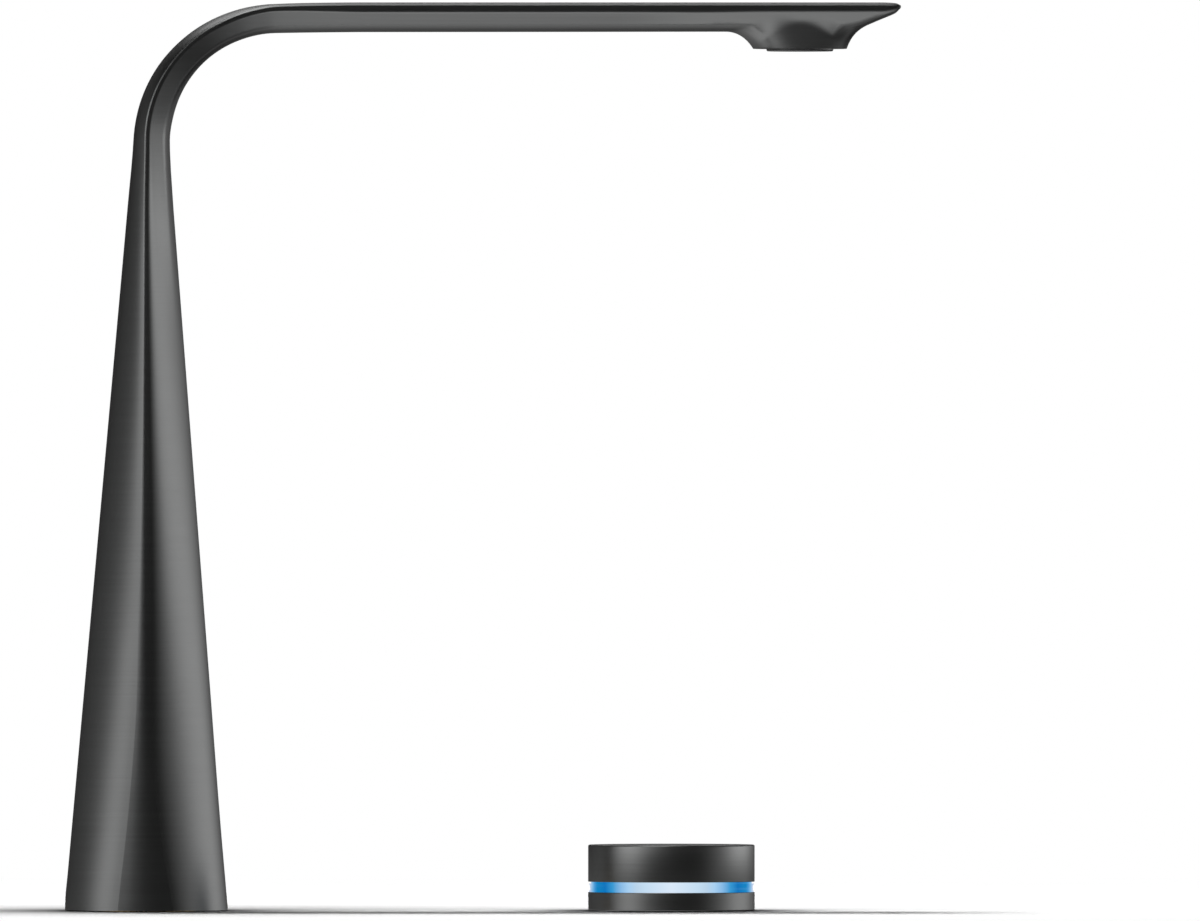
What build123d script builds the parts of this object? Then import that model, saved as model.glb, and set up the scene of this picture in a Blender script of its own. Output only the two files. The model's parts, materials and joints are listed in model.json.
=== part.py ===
from build123d import *
import math
import os

# Electronic basin tap: a slim spout column and a separate round control dial on one deck.
# The origin is the centre of the spout's foot on the deck, +X points to the outlet and +Z up.
# All sizes are in millimetres and all angles in degrees.

# Spout casting, outside
foot_r = 22.5
neck_z = 196.0
neck_back_x = 5.1
neck_front_x = 7.3
neck_half = 19.0
column_half_power = 3.0
crease_shift = 0.2
bend_x = 35.6
bend_z = 212.5
bend_start_outer_r = 39.3
bend_start_wide_r = 35.7
bend_start_inner_r = 29.25
bend_start_half = 18.6
bend_top_drop = 0.4
bend_under_drop = 0.25
bend_edge_r = 0.9
bend_back_power = 0.7
bend_steps = 6
beam_start_x = 62.0
beam_top_z = 250.7
beam_depth = 8.0
beam_half = 17.75
beam_crown = 0.8
beam_edge_r = 0.8
outlet_x = 180.5
head_start_x = 186.0
underside_lift_x = 194.0
underside_lift_angle = 21.5
tip_x = 208.3
tip_z = 249.25
tip_height = 1.1
tip_edge_r = 0.37
tip_inset = 0.5
nose_length = 1.6
column_steps = 4
head_steps = 4
boss_steps = 4
mouth_r = 13.0
boss_height = 4.8
boss_rear_flare = 7.5
boss_front_flare = 6.8
boss_side_flare = 0.6
boss_root = 0.2
boss_rear_power = 2.0
boss_front_power = 1.6

# How the outline of a cross-section runs: angle of the back at the side edge, and how full
# the flank and the nose are
foot_back_angle = 20.0
neck_back_angle = 58.0
beam_back_angle = 84.0
edge_end_angle = 20.0
round_fullness = 0.42
neck_flank_fullness = 0.36
neck_nose_fullness = 0.33
beam_flank_fullness = 0.30
beam_nose_fullness = 0.74
back_fullness = 0.365
edge_sharpening = 3.2

# Spout casting, inside
foot_wall = 3.5
insert_ledge = 1.0
cavity_top_z = 150.0
cavity_top_x = 6.2
cavity_top_y = 11.0
port_top_z = 166.0
waterway_bend_r = 34.0
waterway_high = 4.4
waterway_wide = 11.0
chamber_r = 7.6

# Deck and the fixings below it
deck_thickness = 20.0
thread_fit = 0.05
loose_fit = 0.4
deck_seal_height = 1.0
deck_seal_gap = 0.3
insert_height = 9.0
shank_r = 14.0
shank_bore_r = 10.0
shank_free = 12.0
gasket_height = 3.0
washer_height = 2.0
clamp_ring_r = 24.0
clamp_nut_height = 8.0
clamp_nut_hex = 38.0

# Supply pipe inside the column and its fittings
pipe_r = 4.0
pipe_bore_r = 3.0
port_r = 6.0
nipple_fit = 0.05
nipple_below_port = 10.0
nipple_top_gap = 0.6
nipple_socket = 8.0
o_ring_wire_r = 0.8
o_ring_gap = 0.02
o_ring_count = 2
o_ring_pitch = 5.0
o_ring_top_gap = 4.0
o_ring_room = 0.1
nipple_chamfer = 0.8
thread_chamfer = 1.0
guide_height = 6.0
fitting_gap = 3.0
adaptor_thread_r = 8.33
adaptor_thread_length = 12.0
adaptor_hex = 19.0
adaptor_hex_height = 6.0
compression_thread_r = 7.0
compression_thread_length = 8.0
adaptor_socket = 10.0
compression_nut_hex = 17.0
compression_nut_height = 11.0
olive_wall = 1.2
olive_seat = 1.5
olive_above = 2.5
olive_fit = 0.02

# Outlet insert
aerator_r = 9.25
aerator_rim = 0.7
aerator_height = 6.6
aerator_wall = 0.95
aerator_lip_height = 0.8
aerator_lip_width = 0.7
aerator_chamfer = 0.3
outlet_plate_height = 1.6
outlet_cell_hex = 1.5
outlet_rib = 0.35
screen_height = 0.9
screen_hole_r = 0.45
screen_hole_pitch = 1.6
regulator_height = 2.2
regulator_channel_r = 5.0
regulator_ring_wire_r = 0.7
regulator_port_count = 8
regulator_port_r = 0.6
strainer_hole_r = 0.35
strainer_hole_pitch = 1.25
plate_fit = 0.05
aerator_seal_height = 1.2

# Dial, outside
dial_x = 145.0
dial_r = 23.0
base_height = 5.0
cap_bottom_z = 7.85
dial_height = 18.07
cap_edge_r = 0.4
base_edge_r = 0.25
band_recess = 0.15
band_hollow = 0.4
band_gap = 0.05
base_wall = 2.4
cap_wall = 2.1

# Dial, inside
base_floor_z = 2.4
board_ledge_z = 3.4
board_ledge_width = 3.6
tail_r = 12.0
tail_bore_r = 9.0
tail_free = 10.0
dial_groove_outer_r = 20.5
dial_groove_inner_r = 16.0
board_height = 1.0
board_fit = 0.3
lamp_count = 12
lamp_margin = 1.85
lamp_width = 1.6
lamp_depth = 1.2
lamp_height = 0.7
sensor_count = 2
sensor_margin = 4.4
sensor_spread_angle = 15.0
sensor_width = 2.6
sensor_depth = 1.4
sensor_height = 0.9
cap_top_wall = 2.0
cap_lip_wall = 0.6
cap_lip_depth = 1.5
light_seat = 1.1
light_neck_gap = 0.2
light_shoulder_z = 8.6
light_collar_wall = 1.0
light_top_z = 9.6
light_spigot = 0.4
wiper_height = 1.2
wiper_gap = 0.3
chassis_r = 14.6
chassis_flange = 1.6
sleeve_r = 8.4
sleeve_bore_r = 6.4
sleeve_top_z = 11.3
slide_fit = 0.05
press_travel = 0.5
carriage_bottom_z = 7.6
carriage_flange_r = 9.8
carriage_flange_height = 0.8
carriage_top_z = 13.0
key_count = 3
key_width = 2.4
key_height = 1.4
key_bottom_z = 9.2
key_reach = 1.2
key_overlap = 1.0
key_fit = 0.1
key_start_angle = 60.0
spindle_r = 3.0
spindle_fit = 0.05
spindle_bottom_z = 8.0
spindle_head_r = 5.5
spindle_head_height = 1.2
clip_height = 0.5
clip_z = 8.6
clip_inner_r = 2.4
clip_r = 4.6
clip_gap = 0.1
clip_room = 0.4
clip_slack = 0.05
clip_opening = 3.0
thrust_washer_height = 0.4
thrust_washer_r = 6.5
hub_wall = 1.6
hub_side_gap = 1.3
hub_press_gap = 0.05
magnet_bottom_z = 6.2
magnet_height = 2.0
spring_r = 9.15
spring_wire_r = 0.25
spring_turns = 3.5
switch_width = 6.0
switch_height = 2.0
switch_corner_r = 0.4
plunger_depth = 0.5
plunger_r = 1.6
plunger_edge_r = 0.4
plunger_fit = 0.08
plunger_gap = 0.02
screw_circle_r = 12.4
screw_count = 3
screw_r = 1.0
screw_length = 5.0
screw_boss_r = 2.4
screw_head_r = 1.9
screw_head_height = 1.2
screw_slot_width = 0.6
hub_screw_r = 1.25
hub_screw_head_r = 2.4
hub_screw_head_height = 0.7
hub_plate_height = 2.2
hub_screw_length = 5.0
socket_width = 7.5
socket_depth = 4.5
socket_height = 3.0
socket_wall = 0.6
gland_height = 8.0
gland_rim = 2.0
cable_hole_r = 2.6
dial_clamp_ring_r = 19.0
dial_nut_height = 7.0
dial_nut_hex = 30.0

# Sizes that follow from the ones above
beam_wide_z = beam_top_z - beam_crown - beam_edge_r
beam_under_z = beam_top_z - beam_depth
bend_end_outer_r = beam_top_z - bend_z - bend_top_drop
bend_end_inner_r = beam_under_z - bend_z - bend_under_drop
mouth_z = beam_under_z - boss_height
column_top_z = bend_z - waterway_bend_r * math.pi / 2 / bend_steps
nose_x = tip_x - nose_length
waterway_z = bend_z + waterway_bend_r
pipe_x = bend_x - waterway_bend_r
insert_r = foot_r - foot_wall
insert_top_z = deck_seal_height + insert_height

under_gasket_z = -deck_thickness - gasket_height
under_washer_z = under_gasket_z - washer_height
clamp_nut_z = under_washer_z - clamp_nut_height
shank_bottom_z = clamp_nut_z - shank_free

nipple_r = port_r - nipple_fit
nipple_bottom_z = cavity_top_z - nipple_below_port
nipple_top_z = port_top_z - nipple_top_gap
o_ring_heights = [nipple_top_z - o_ring_top_gap - o_ring_pitch * i for i in range(o_ring_count)]
groove_r = port_r - 2 * o_ring_wire_r - o_ring_room
groove_height = 2 * o_ring_wire_r + 2 * o_ring_room
compression_nut_z = shank_bottom_z - fitting_gap - compression_nut_height
adaptor_top_z = compression_nut_z + compression_thread_length
pipe_bottom_z = adaptor_top_z - adaptor_socket
inlet_z = compression_nut_z - adaptor_hex_height - adaptor_thread_length

aerator_bottom_z = mouth_z - aerator_rim
aerator_top_z = aerator_bottom_z + aerator_height
aerator_bore_r = aerator_r - aerator_wall
plate_r = aerator_bore_r - plate_fit
outlet_plate_z = aerator_bottom_z + aerator_lip_height
screen_z = outlet_plate_z + outlet_plate_height
regulator_z = screen_z + screen_height
strainer_z = regulator_z + regulator_height
seal_top_z = aerator_top_z + aerator_seal_height

dial_nut_z = under_washer_z - dial_nut_height
tail_bottom_z = dial_nut_z - tail_free
base_pocket_r = dial_r - base_wall
board_ledge_r = base_pocket_r - board_ledge_width
lamp_centre_r = base_pocket_r - lamp_margin
sensor_centre_r = base_pocket_r - sensor_margin
cap_bore_r = dial_r - cap_wall
light_inner_r = base_pocket_r - light_seat
light_outer_r = dial_r - band_recess
light_neck_r = dial_r - cap_lip_wall - light_neck_gap
band_top_z = cap_bottom_z - press_travel - band_gap
hub_wall_r = light_inner_r - hub_side_gap
board_top_z = board_ledge_z + board_height
chassis_top_z = board_top_z + chassis_flange
screw_bottom_z = chassis_top_z - screw_length
plunger_z = board_top_z + switch_height - plunger_depth
spring_height = carriage_top_z - carriage_flange_height - chassis_top_z - 2 * spring_wire_r
key_depth = key_reach + slide_fit + key_overlap
key_centre_r = sleeve_bore_r + key_reach - key_depth / 2
spindle_head_z = carriage_top_z + thrust_washer_height
spindle_top_z = spindle_head_z + spindle_head_height
hub_top_z = dial_height - cap_top_wall
hub_plate_z = hub_top_z - hub_plate_height
hub_screw_z = hub_top_z - hub_screw_head_height

pipe_axis = Axis((pipe_x, 0, 0), (0, 0, 1))
outlet_axis = Axis((outlet_x, 0, 0), (0, 0, 1))
dial_axis = Axis((dial_x, 0, 0), (0, 0, 1))


# Shapes that many pieces use
def upright(x=0.0):
    # Plane of a turned piece's half profile: radius across and height up
    return Plane(origin=(x, 0, 0), x_dir=(1, 0, 0), z_dir=(0, -1, 0))


def level(z, x=0.0):
    return Plane(origin=(x, 0, z), x_dir=(1, 0, 0), z_dir=(0, 0, 1))


def ring(outer_r, inner_r, bottom_z, top_z, x=0.0, mode=Mode.ADD):
    with BuildSketch(level(bottom_z, x)) as outline:
        Circle(outer_r)
        if inner_r > 0:
            Circle(inner_r, mode=Mode.SUBTRACT)
    extrude(outline.sketch, amount=top_z - bottom_z, mode=mode)


def hexagon(across_flats, bottom_z, top_z, x=0.0):
    with BuildSketch(level(bottom_z, x)) as outline:
        RegularPolygon(across_flats / 2, 6, major_radius=False)
    extrude(outline.sketch, amount=top_z - bottom_z)


def turned(points, axis, x=0.0, mode=Mode.ADD):
    with BuildSketch(upright(x)) as profile:
        with BuildLine():
            Polyline(*points, close=True)
        make_face()
    revolve(profile.sketch, axis=axis, mode=mode)


def grid_spots(reach, pitch):
    # Centres of a triangular grid that lie within reach of the middle
    rows = int(reach / pitch) + 2
    spots = []
    for row in range(-rows, rows + 1):
        for column in range(-rows, rows + 1):
            spot = ((column + row / 2) * pitch, row * pitch * math.sqrt(3) / 2)
            if math.hypot(*spot) <= reach:
                spots.append(spot)
    return spots


def save(part, name):
    part.label = name
    export_step(part, f"parts/{name}.step")


def mix(start, end, share):
    return start + (end - start) * share


# Cross-section of the spout: an arched back, a small rounded side edge, and a flank that runs
# into the nose. X in the section points from the back to the nose, and Y is across the spout.
def spout_section(plane, back, front, half, edge_r, back_angle, flank, nose):
    lean = math.radians(back_angle)
    turn = math.radians(edge_end_angle)
    apex = (-back, 0)
    edge_start = (-edge_r * math.sin(lean), half - edge_r * (1 - math.cos(lean)))
    edge_end = (edge_r * math.sin(turn), half - edge_r * (1 - math.cos(turn)))
    middle = (edge_end_angle - back_angle) / 2
    edge_middle = (
        edge_r * math.sin(math.radians(middle)),
        half - edge_r * (1 - math.cos(math.radians(middle))),
    )
    reach = back_fullness * math.dist(apex, edge_start)
    back_handle = (edge_start[0] - reach * math.cos(lean), edge_start[1] - reach * math.sin(lean))
    flank_reach = flank * front
    flank_handle = (
        edge_end[0] + flank_reach * math.cos(turn),
        edge_end[1] - flank_reach * math.sin(turn),
    )
    with BuildSketch(plane) as outline:
        with BuildLine():
            Bezier(apex, (-back, reach), back_handle, edge_start)
            ThreePointArc(edge_start, edge_middle, edge_end)
            Bezier(edge_end, flank_handle, (front, nose * half), (front, 0))
            mirror(about=Plane.XZ)
        make_face()
    return outline.sketch


def column_section(z):
    share = z / neck_z
    wide_x = -crease_shift * share
    return spout_section(
        level(z, wide_x),
        back=mix(foot_r, neck_back_x, share) + wide_x,
        front=mix(foot_r, neck_front_x, share) - wide_x,
        half=mix(foot_r, neck_half, share ** column_half_power),
        edge_r=foot_r * math.exp(-edge_sharpening * share),
        back_angle=mix(foot_back_angle, neck_back_angle, share),
        flank=mix(round_fullness, neck_flank_fullness, share),
        nose=mix(round_fullness, neck_nose_fullness, share),
    )


def bend_section(share):
    angle = math.radians(90 * share)
    outer_r = mix(bend_start_outer_r, bend_end_outer_r, share)
    wide_r = mix(bend_start_wide_r, beam_wide_z - bend_z, share)
    inner_r = mix(bend_start_inner_r, bend_end_inner_r, share)
    plane = Plane(
        origin=(bend_x - wide_r * math.cos(angle), 0, bend_z + wide_r * math.sin(angle)),
        x_dir=(math.cos(angle), 0, -math.sin(angle)),
        z_dir=(math.sin(angle), 0, math.cos(angle)),
    )
    return spout_section(
        plane,
        back=outer_r - wide_r,
        front=wide_r - inner_r,
        half=mix(bend_start_half, beam_half, share),
        edge_r=mix(bend_edge_r, beam_edge_r, share),
        back_angle=mix(neck_back_angle, beam_back_angle, share ** bend_back_power),
        flank=mix(neck_flank_fullness, beam_flank_fullness, share),
        nose=mix(neck_nose_fullness, beam_nose_fullness, share),
    )


def beam_section(x, depth):
    return spout_section(
        Plane(origin=(x, 0, beam_wide_z), x_dir=(0, 0, -1), z_dir=(1, 0, 0)),
        back=beam_crown + beam_edge_r,
        front=depth - beam_crown - beam_edge_r,
        half=beam_half,
        edge_r=beam_edge_r,
        back_angle=beam_back_angle,
        flank=beam_flank_fullness,
        nose=beam_nose_fullness,
    )


def tip_section():
    return spout_section(
        Plane(origin=(tip_x, 0, tip_z), x_dir=(0, 0, -1), z_dir=(1, 0, 0)),
        back=tip_height / 2,
        front=tip_height / 2,
        half=beam_half - tip_inset,
        edge_r=tip_edge_r,
        back_angle=beam_back_angle,
        flank=beam_flank_fullness,
        nose=beam_nose_fullness,
    )


def head_depth(x):
    # Towards the tip the underside climbs at a steady angle
    climb = max(0.0, x - underside_lift_x) * math.tan(math.radians(underside_lift_angle))
    return beam_depth - climb


# Cross-section of the outlet boss, on a plane that tilts as the boss flares from its round
# mouth into the underside, which is higher on the tip's side
def boss_section(share):
    rear_rise = boss_height
    ahead_reach = mouth_r + boss_front_flare
    ahead_rise = beam_top_z - head_depth(outlet_x + ahead_reach) - mouth_z
    rear = Vector(mouth_r + boss_rear_flare * share ** boss_rear_power, rear_rise * share)
    ahead = Vector(mouth_r + boss_front_flare * share ** boss_front_power, ahead_rise * share)
    span = Vector(ahead.X + rear.X, ahead.Y - rear.Y)
    slope = math.atan2(span.Y, span.X)
    plane = Plane(
        origin=(outlet_x + (ahead.X - rear.X) / 2, 0, mouth_z + (ahead.Y + rear.Y) / 2),
        x_dir=(math.cos(slope), 0, math.sin(slope)),
        z_dir=(-math.sin(slope), 0, math.cos(slope)),
    )
    with BuildSketch(plane) as outline:
        Ellipse(span.length / 2, mouth_r + boss_side_flare * share ** boss_rear_power)
    return outline.sketch


os.makedirs("parts", exist_ok=True)

# The spout casting: column, bend, flat beam and beak-shaped head with the outlet boss, hollow
# for the supply pipe, with a flat waterway round the bend to the outlet
with BuildPart() as spout_body:
    loft([column_section(column_top_z * step / column_steps) for step in range(column_steps + 1)])
    bend = [bend_section(step / bend_steps) for step in range(bend_steps + 1)]
    loft([column_section(column_top_z)] + bend)
    rise = mix(bend_x, beam_start_x, 0.5)
    loft([bend_section(1.0), beam_section(rise, beam_depth), beam_section(beam_start_x, beam_depth)])
    extrude(beam_section(beam_start_x, beam_depth), amount=head_start_x - beam_start_x)
    head = [mix(head_start_x, nose_x, step / head_steps) for step in range(head_steps + 1)]
    loft([beam_section(x, head_depth(x)) for x in head])
    loft([beam_section(nose_x, head_depth(nose_x)), tip_section()], ruled=True)
    loft([boss_section((1 + boss_root) * step / boss_steps) for step in range(boss_steps + 1)])
    # Inside: seat of the insert, open column, port of the nipple, waterway and outlet chamber
    ring(insert_r, 0, 0, insert_top_z, mode=Mode.SUBTRACT)
    with BuildSketch(level(insert_top_z)):
        Circle(insert_r - insert_ledge)
    with BuildSketch(level(cavity_top_z, pipe_x)):
        Ellipse(cavity_top_x, cavity_top_y)
    loft(mode=Mode.SUBTRACT)
    ring(port_r, 0, cavity_top_z, port_top_z, pipe_x, mode=Mode.SUBTRACT)
    with BuildSketch(level(port_top_z, pipe_x)):
        SlotOverall(waterway_wide, waterway_high, rotation=90)
    extrude(amount=bend_z - port_top_z, mode=Mode.SUBTRACT)
    with BuildSketch(level(bend_z, pipe_x)):
        SlotOverall(waterway_wide, waterway_high, rotation=90)
    revolve(axis=Axis((bend_x, 0, bend_z), (0, 1, 0)), revolution_arc=90, mode=Mode.SUBTRACT)
    with BuildSketch(Plane(origin=(bend_x, 0, waterway_z), x_dir=(0, 1, 0), z_dir=(1, 0, 0))):
        SlotOverall(waterway_wide, waterway_high)
    extrude(amount=outlet_x - bend_x, mode=Mode.SUBTRACT)
    ring(chamber_r, 0, mouth_z, waterway_z + waterway_high / 2, outlet_x, mode=Mode.SUBTRACT)
    ring(aerator_r + thread_fit, 0, mouth_z, seal_top_z, outlet_x, mode=Mode.SUBTRACT)
save(spout_body.part, "spout_body")


# Threaded insert in the foot, with the seal that sits on the deck
with BuildPart() as foot_insert:
    ring(insert_r - thread_fit, shank_r + thread_fit, deck_seal_height, insert_top_z)
save(foot_insert.part, "foot_insert")

with BuildPart() as spout_deck_seal:
    ring(insert_r - deck_seal_gap, shank_r + deck_seal_gap, 0, deck_seal_height)
save(spout_deck_seal.part, "spout_deck_seal")

# Fixings that clamp the spout to the deck
with BuildPart() as threaded_shank:
    ring(shank_r, shank_bore_r, shank_bottom_z, insert_top_z)
    chamfer(threaded_shank.edges().group_by(Axis.Z)[0].sort_by(SortBy.LENGTH)[-1], thread_chamfer)
save(threaded_shank.part, "threaded_shank")

with BuildPart() as spout_gasket:
    ring(clamp_ring_r, shank_r + loose_fit, under_gasket_z, -deck_thickness)
save(spout_gasket.part, "spout_gasket")

with BuildPart() as spout_washer:
    ring(clamp_ring_r, shank_r + loose_fit, under_washer_z, under_gasket_z)
save(spout_washer.part, "spout_washer")

with BuildPart() as spout_nut:
    hexagon(clamp_nut_hex, clamp_nut_z, under_washer_z)
    ring(shank_r + thread_fit, 0, clamp_nut_z, under_washer_z, mode=Mode.SUBTRACT)
save(spout_nut.part, "spout_nut")

# Supply pipe through the shank and the column, with the nipple that plugs into the port
with BuildPart() as supply_nipple:
    turned(
        [
            (pipe_bore_r, nipple_bottom_z + nipple_socket),
            (pipe_r + thread_fit, nipple_bottom_z + nipple_socket),
            (pipe_r + thread_fit, nipple_bottom_z),
            (nipple_r, nipple_bottom_z),
            (nipple_r, nipple_top_z - nipple_chamfer),
            (nipple_r - nipple_chamfer, nipple_top_z),
            (pipe_bore_r, nipple_top_z),
        ],
        pipe_axis,
        pipe_x,
    )
    for z in o_ring_heights:
        ring(nipple_r, groove_r, z - groove_height / 2, z + groove_height / 2, pipe_x, Mode.SUBTRACT)
save(supply_nipple.part, "supply_nipple")

with BuildPart() as nipple_seals:
    for z in o_ring_heights:
        with BuildSketch(upright(pipe_x)):
            with Locations((port_r - o_ring_gap - o_ring_wire_r, z)):
                Circle(o_ring_wire_r)
        revolve(axis=pipe_axis)
save(nipple_seals.part, "nipple_seals")

with BuildPart() as supply_pipe:
    ring(pipe_r, pipe_bore_r, pipe_bottom_z, nipple_bottom_z + nipple_socket, pipe_x)
save(supply_pipe.part, "supply_pipe")

with BuildPart() as pipe_guide:
    ring(shank_bore_r - thread_fit, 0, shank_bottom_z, shank_bottom_z + guide_height)
    ring(pipe_r + thread_fit, 0, shank_bottom_z, shank_bottom_z + guide_height, pipe_x, Mode.SUBTRACT)
save(pipe_guide.part, "pipe_guide")

# Compression fitting at the pipe's lower end, with the threaded inlet below it
with BuildPart() as inlet_adaptor:
    ring(compression_thread_r, 0, compression_nut_z, adaptor_top_z, pipe_x)
    hexagon(adaptor_hex, compression_nut_z - adaptor_hex_height, compression_nut_z, pipe_x)
    ring(adaptor_thread_r, 0, inlet_z, compression_nut_z - adaptor_hex_height, pipe_x)
    chamfer(inlet_adaptor.edges().group_by(Axis.Z)[0], thread_chamfer)
    ring(pipe_bore_r, 0, inlet_z, pipe_bottom_z, pipe_x, Mode.SUBTRACT)
    ring(pipe_r + thread_fit, 0, pipe_bottom_z, adaptor_top_z, pipe_x, Mode.SUBTRACT)
    turned(
        [
            (0, adaptor_top_z),
            (pipe_r + olive_wall + thread_fit, adaptor_top_z),
            (pipe_r + thread_fit, adaptor_top_z - olive_seat),
            (0, adaptor_top_z - olive_seat),
        ],
        pipe_axis,
        pipe_x,
        Mode.SUBTRACT,
    )
save(inlet_adaptor.part, "inlet_adaptor")

with BuildPart() as compression_olive:
    turned(
        [
            (pipe_r + olive_fit, adaptor_top_z - olive_seat + olive_fit),
            (pipe_r + olive_wall, adaptor_top_z + olive_fit),
            (pipe_r + olive_wall, adaptor_top_z + olive_above / 2),
            (pipe_r + olive_fit, adaptor_top_z + olive_above),
        ],
        pipe_axis,
        pipe_x,
    )
save(compression_olive.part, "compression_olive")

with BuildPart() as compression_nut:
    hexagon(compression_nut_hex, compression_nut_z, compression_nut_z + compression_nut_height, pipe_x)
    ring(compression_thread_r + thread_fit, 0, compression_nut_z, adaptor_top_z, pipe_x, Mode.SUBTRACT)
    turned(
        [
            (0, adaptor_top_z),
            (pipe_r + olive_wall + thread_fit, adaptor_top_z),
            (pipe_r + olive_wall + thread_fit, adaptor_top_z + olive_above / 2),
            (pipe_r + thread_fit, adaptor_top_z + olive_above + thread_fit),
            (pipe_r + thread_fit, compression_nut_z + compression_nut_height),
            (0, compression_nut_z + compression_nut_height),
        ],
        pipe_axis,
        pipe_x,
        Mode.SUBTRACT,
    )
save(compression_nut.part, "compression_nut")

# Outlet insert: threaded housing, perforated plate, screens, flow regulator and seal
with BuildPart() as aerator_housing:
    ring(aerator_r, aerator_bore_r, aerator_bottom_z, aerator_top_z, outlet_x)
    ring(aerator_bore_r, aerator_bore_r - aerator_lip_width, aerator_bottom_z, outlet_plate_z, outlet_x)
    chamfer(aerator_housing.edges().group_by(Axis.Z)[0].sort_by(SortBy.LENGTH)[-1], aerator_chamfer)
save(aerator_housing.part, "aerator_housing")

with BuildPart() as outlet_plate:
    ring(plate_r, 0, outlet_plate_z, screen_z, outlet_x)
    with BuildSketch(level(outlet_plate_z, outlet_x)) as cells:
        reach = plate_r - aerator_lip_width - outlet_cell_hex
        with Locations(*grid_spots(reach, outlet_cell_hex + outlet_rib)):
            RegularPolygon(outlet_cell_hex / 2, 6, major_radius=False, rotation=30)
    extrude(amount=outlet_plate_height, mode=Mode.SUBTRACT)
save(outlet_plate.part, "outlet_plate")

with BuildPart() as aerator_screen:
    ring(plate_r, 0, screen_z, regulator_z, outlet_x)
    with BuildSketch(level(screen_z, outlet_x)):
        with Locations(*grid_spots(plate_r - screen_hole_pitch, screen_hole_pitch)):
            Circle(screen_hole_r)
    extrude(amount=screen_height, mode=Mode.SUBTRACT)
save(aerator_screen.part, "aerator_screen")

with BuildPart() as flow_regulator:
    ring(plate_r, 0, regulator_z, strainer_z, outlet_x)
    ring(
        regulator_channel_r + regulator_ring_wire_r + plate_fit,
        regulator_channel_r - regulator_ring_wire_r - plate_fit,
        strainer_z - 2 * regulator_ring_wire_r,
        strainer_z,
        outlet_x,
        Mode.SUBTRACT,
    )
    with BuildSketch(level(regulator_z, outlet_x)):
        with PolarLocations(regulator_channel_r, regulator_port_count):
            Circle(regulator_port_r)
    extrude(amount=regulator_height, mode=Mode.SUBTRACT)
save(flow_regulator.part, "flow_regulator")

with BuildPart() as regulator_ring:
    with BuildSketch(upright(outlet_x)):
        with Locations((regulator_channel_r, strainer_z - regulator_ring_wire_r)):
            Circle(regulator_ring_wire_r)
    revolve(axis=outlet_axis)
save(regulator_ring.part, "regulator_ring")

with BuildPart() as inlet_strainer:
    ring(plate_r, 0, strainer_z, aerator_top_z, outlet_x)
    with BuildSketch(level(strainer_z, outlet_x)):
        with Locations(*grid_spots(plate_r - strainer_hole_pitch, strainer_hole_pitch)):
            Circle(strainer_hole_r)
    extrude(amount=aerator_top_z - strainer_z, mode=Mode.SUBTRACT)
save(inlet_strainer.part, "inlet_strainer")

with BuildPart() as aerator_seal:
    ring(aerator_r, chamber_r, aerator_top_z, seal_top_z, outlet_x)
save(aerator_seal.part, "aerator_seal")

# Dial: turned base with its threaded tail, which the cable comes up through
with BuildPart() as dial_base:
    ring(dial_r, 0, 0, base_height, dial_x)
    fillet(dial_base.edges().sort_by(SortBy.LENGTH)[-2:], base_edge_r)
    ring(base_pocket_r, 0, board_ledge_z, base_height, dial_x, Mode.SUBTRACT)
    ring(board_ledge_r, 0, base_floor_z, board_ledge_z, dial_x, Mode.SUBTRACT)
    ring(dial_groove_outer_r, dial_groove_inner_r, 0, deck_seal_height, dial_x, Mode.SUBTRACT)
    ring(tail_r, 0, tail_bottom_z, 0, dial_x)
    with BuildSketch(level(base_floor_z, dial_x)):
        with PolarLocations(screw_circle_r, screw_count):
            Circle(screw_boss_r)
    extrude(amount=board_ledge_z - base_floor_z)
    chamfer(dial_base.edges().group_by(Axis.Z)[0], thread_chamfer)
    ring(tail_bore_r, 0, tail_bottom_z, base_floor_z, dial_x, Mode.SUBTRACT)
    with BuildSketch(level(screw_bottom_z, dial_x)):
        with PolarLocations(screw_circle_r, screw_count):
            Circle(screw_r + thread_fit)
    extrude(amount=board_ledge_z - screw_bottom_z, mode=Mode.SUBTRACT)
save(dial_base.part, "dial_base")

with BuildPart() as dial_deck_seal:
    ring(
        dial_groove_outer_r - deck_seal_gap,
        dial_groove_inner_r + deck_seal_gap,
        0,
        deck_seal_height,
        dial_x,
    )
save(dial_deck_seal.part, "dial_deck_seal")

with BuildPart() as dial_gasket:
    ring(dial_clamp_ring_r, tail_r + loose_fit, under_gasket_z, -deck_thickness, dial_x)
save(dial_gasket.part, "dial_gasket")

with BuildPart() as dial_washer:
    ring(dial_clamp_ring_r, tail_r + loose_fit, under_washer_z, under_gasket_z, dial_x)
save(dial_washer.part, "dial_washer")

with BuildPart() as dial_nut:
    hexagon(dial_nut_hex, dial_nut_z, under_washer_z, dial_x)
    ring(tail_r + thread_fit, 0, dial_nut_z, under_washer_z, dial_x, Mode.SUBTRACT)
save(dial_nut.part, "dial_nut")

with BuildPart() as cable_gland:
    ring(tail_bore_r - thread_fit, 0, tail_bottom_z, tail_bottom_z + gland_height, dial_x)
    ring(tail_r - thread_chamfer, 0, tail_bottom_z - gland_rim, tail_bottom_z, dial_x)
    ring(cable_hole_r, 0, tail_bottom_z - gland_rim, tail_bottom_z + gland_height, dial_x, Mode.SUBTRACT)
save(cable_gland.part, "cable_gland")

# Electronics on one round board: lamps at the rim, turn sensors, press switch, cable socket
with BuildPart() as control_board:
    ring(base_pocket_r - board_fit, 0, board_ledge_z, board_top_z, dial_x)
    with BuildSketch(level(board_ledge_z, dial_x)):
        with PolarLocations(screw_circle_r, screw_count):
            Circle(screw_r + plate_fit)
    extrude(amount=board_height, mode=Mode.SUBTRACT)
save(control_board.part, "control_board")

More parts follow.
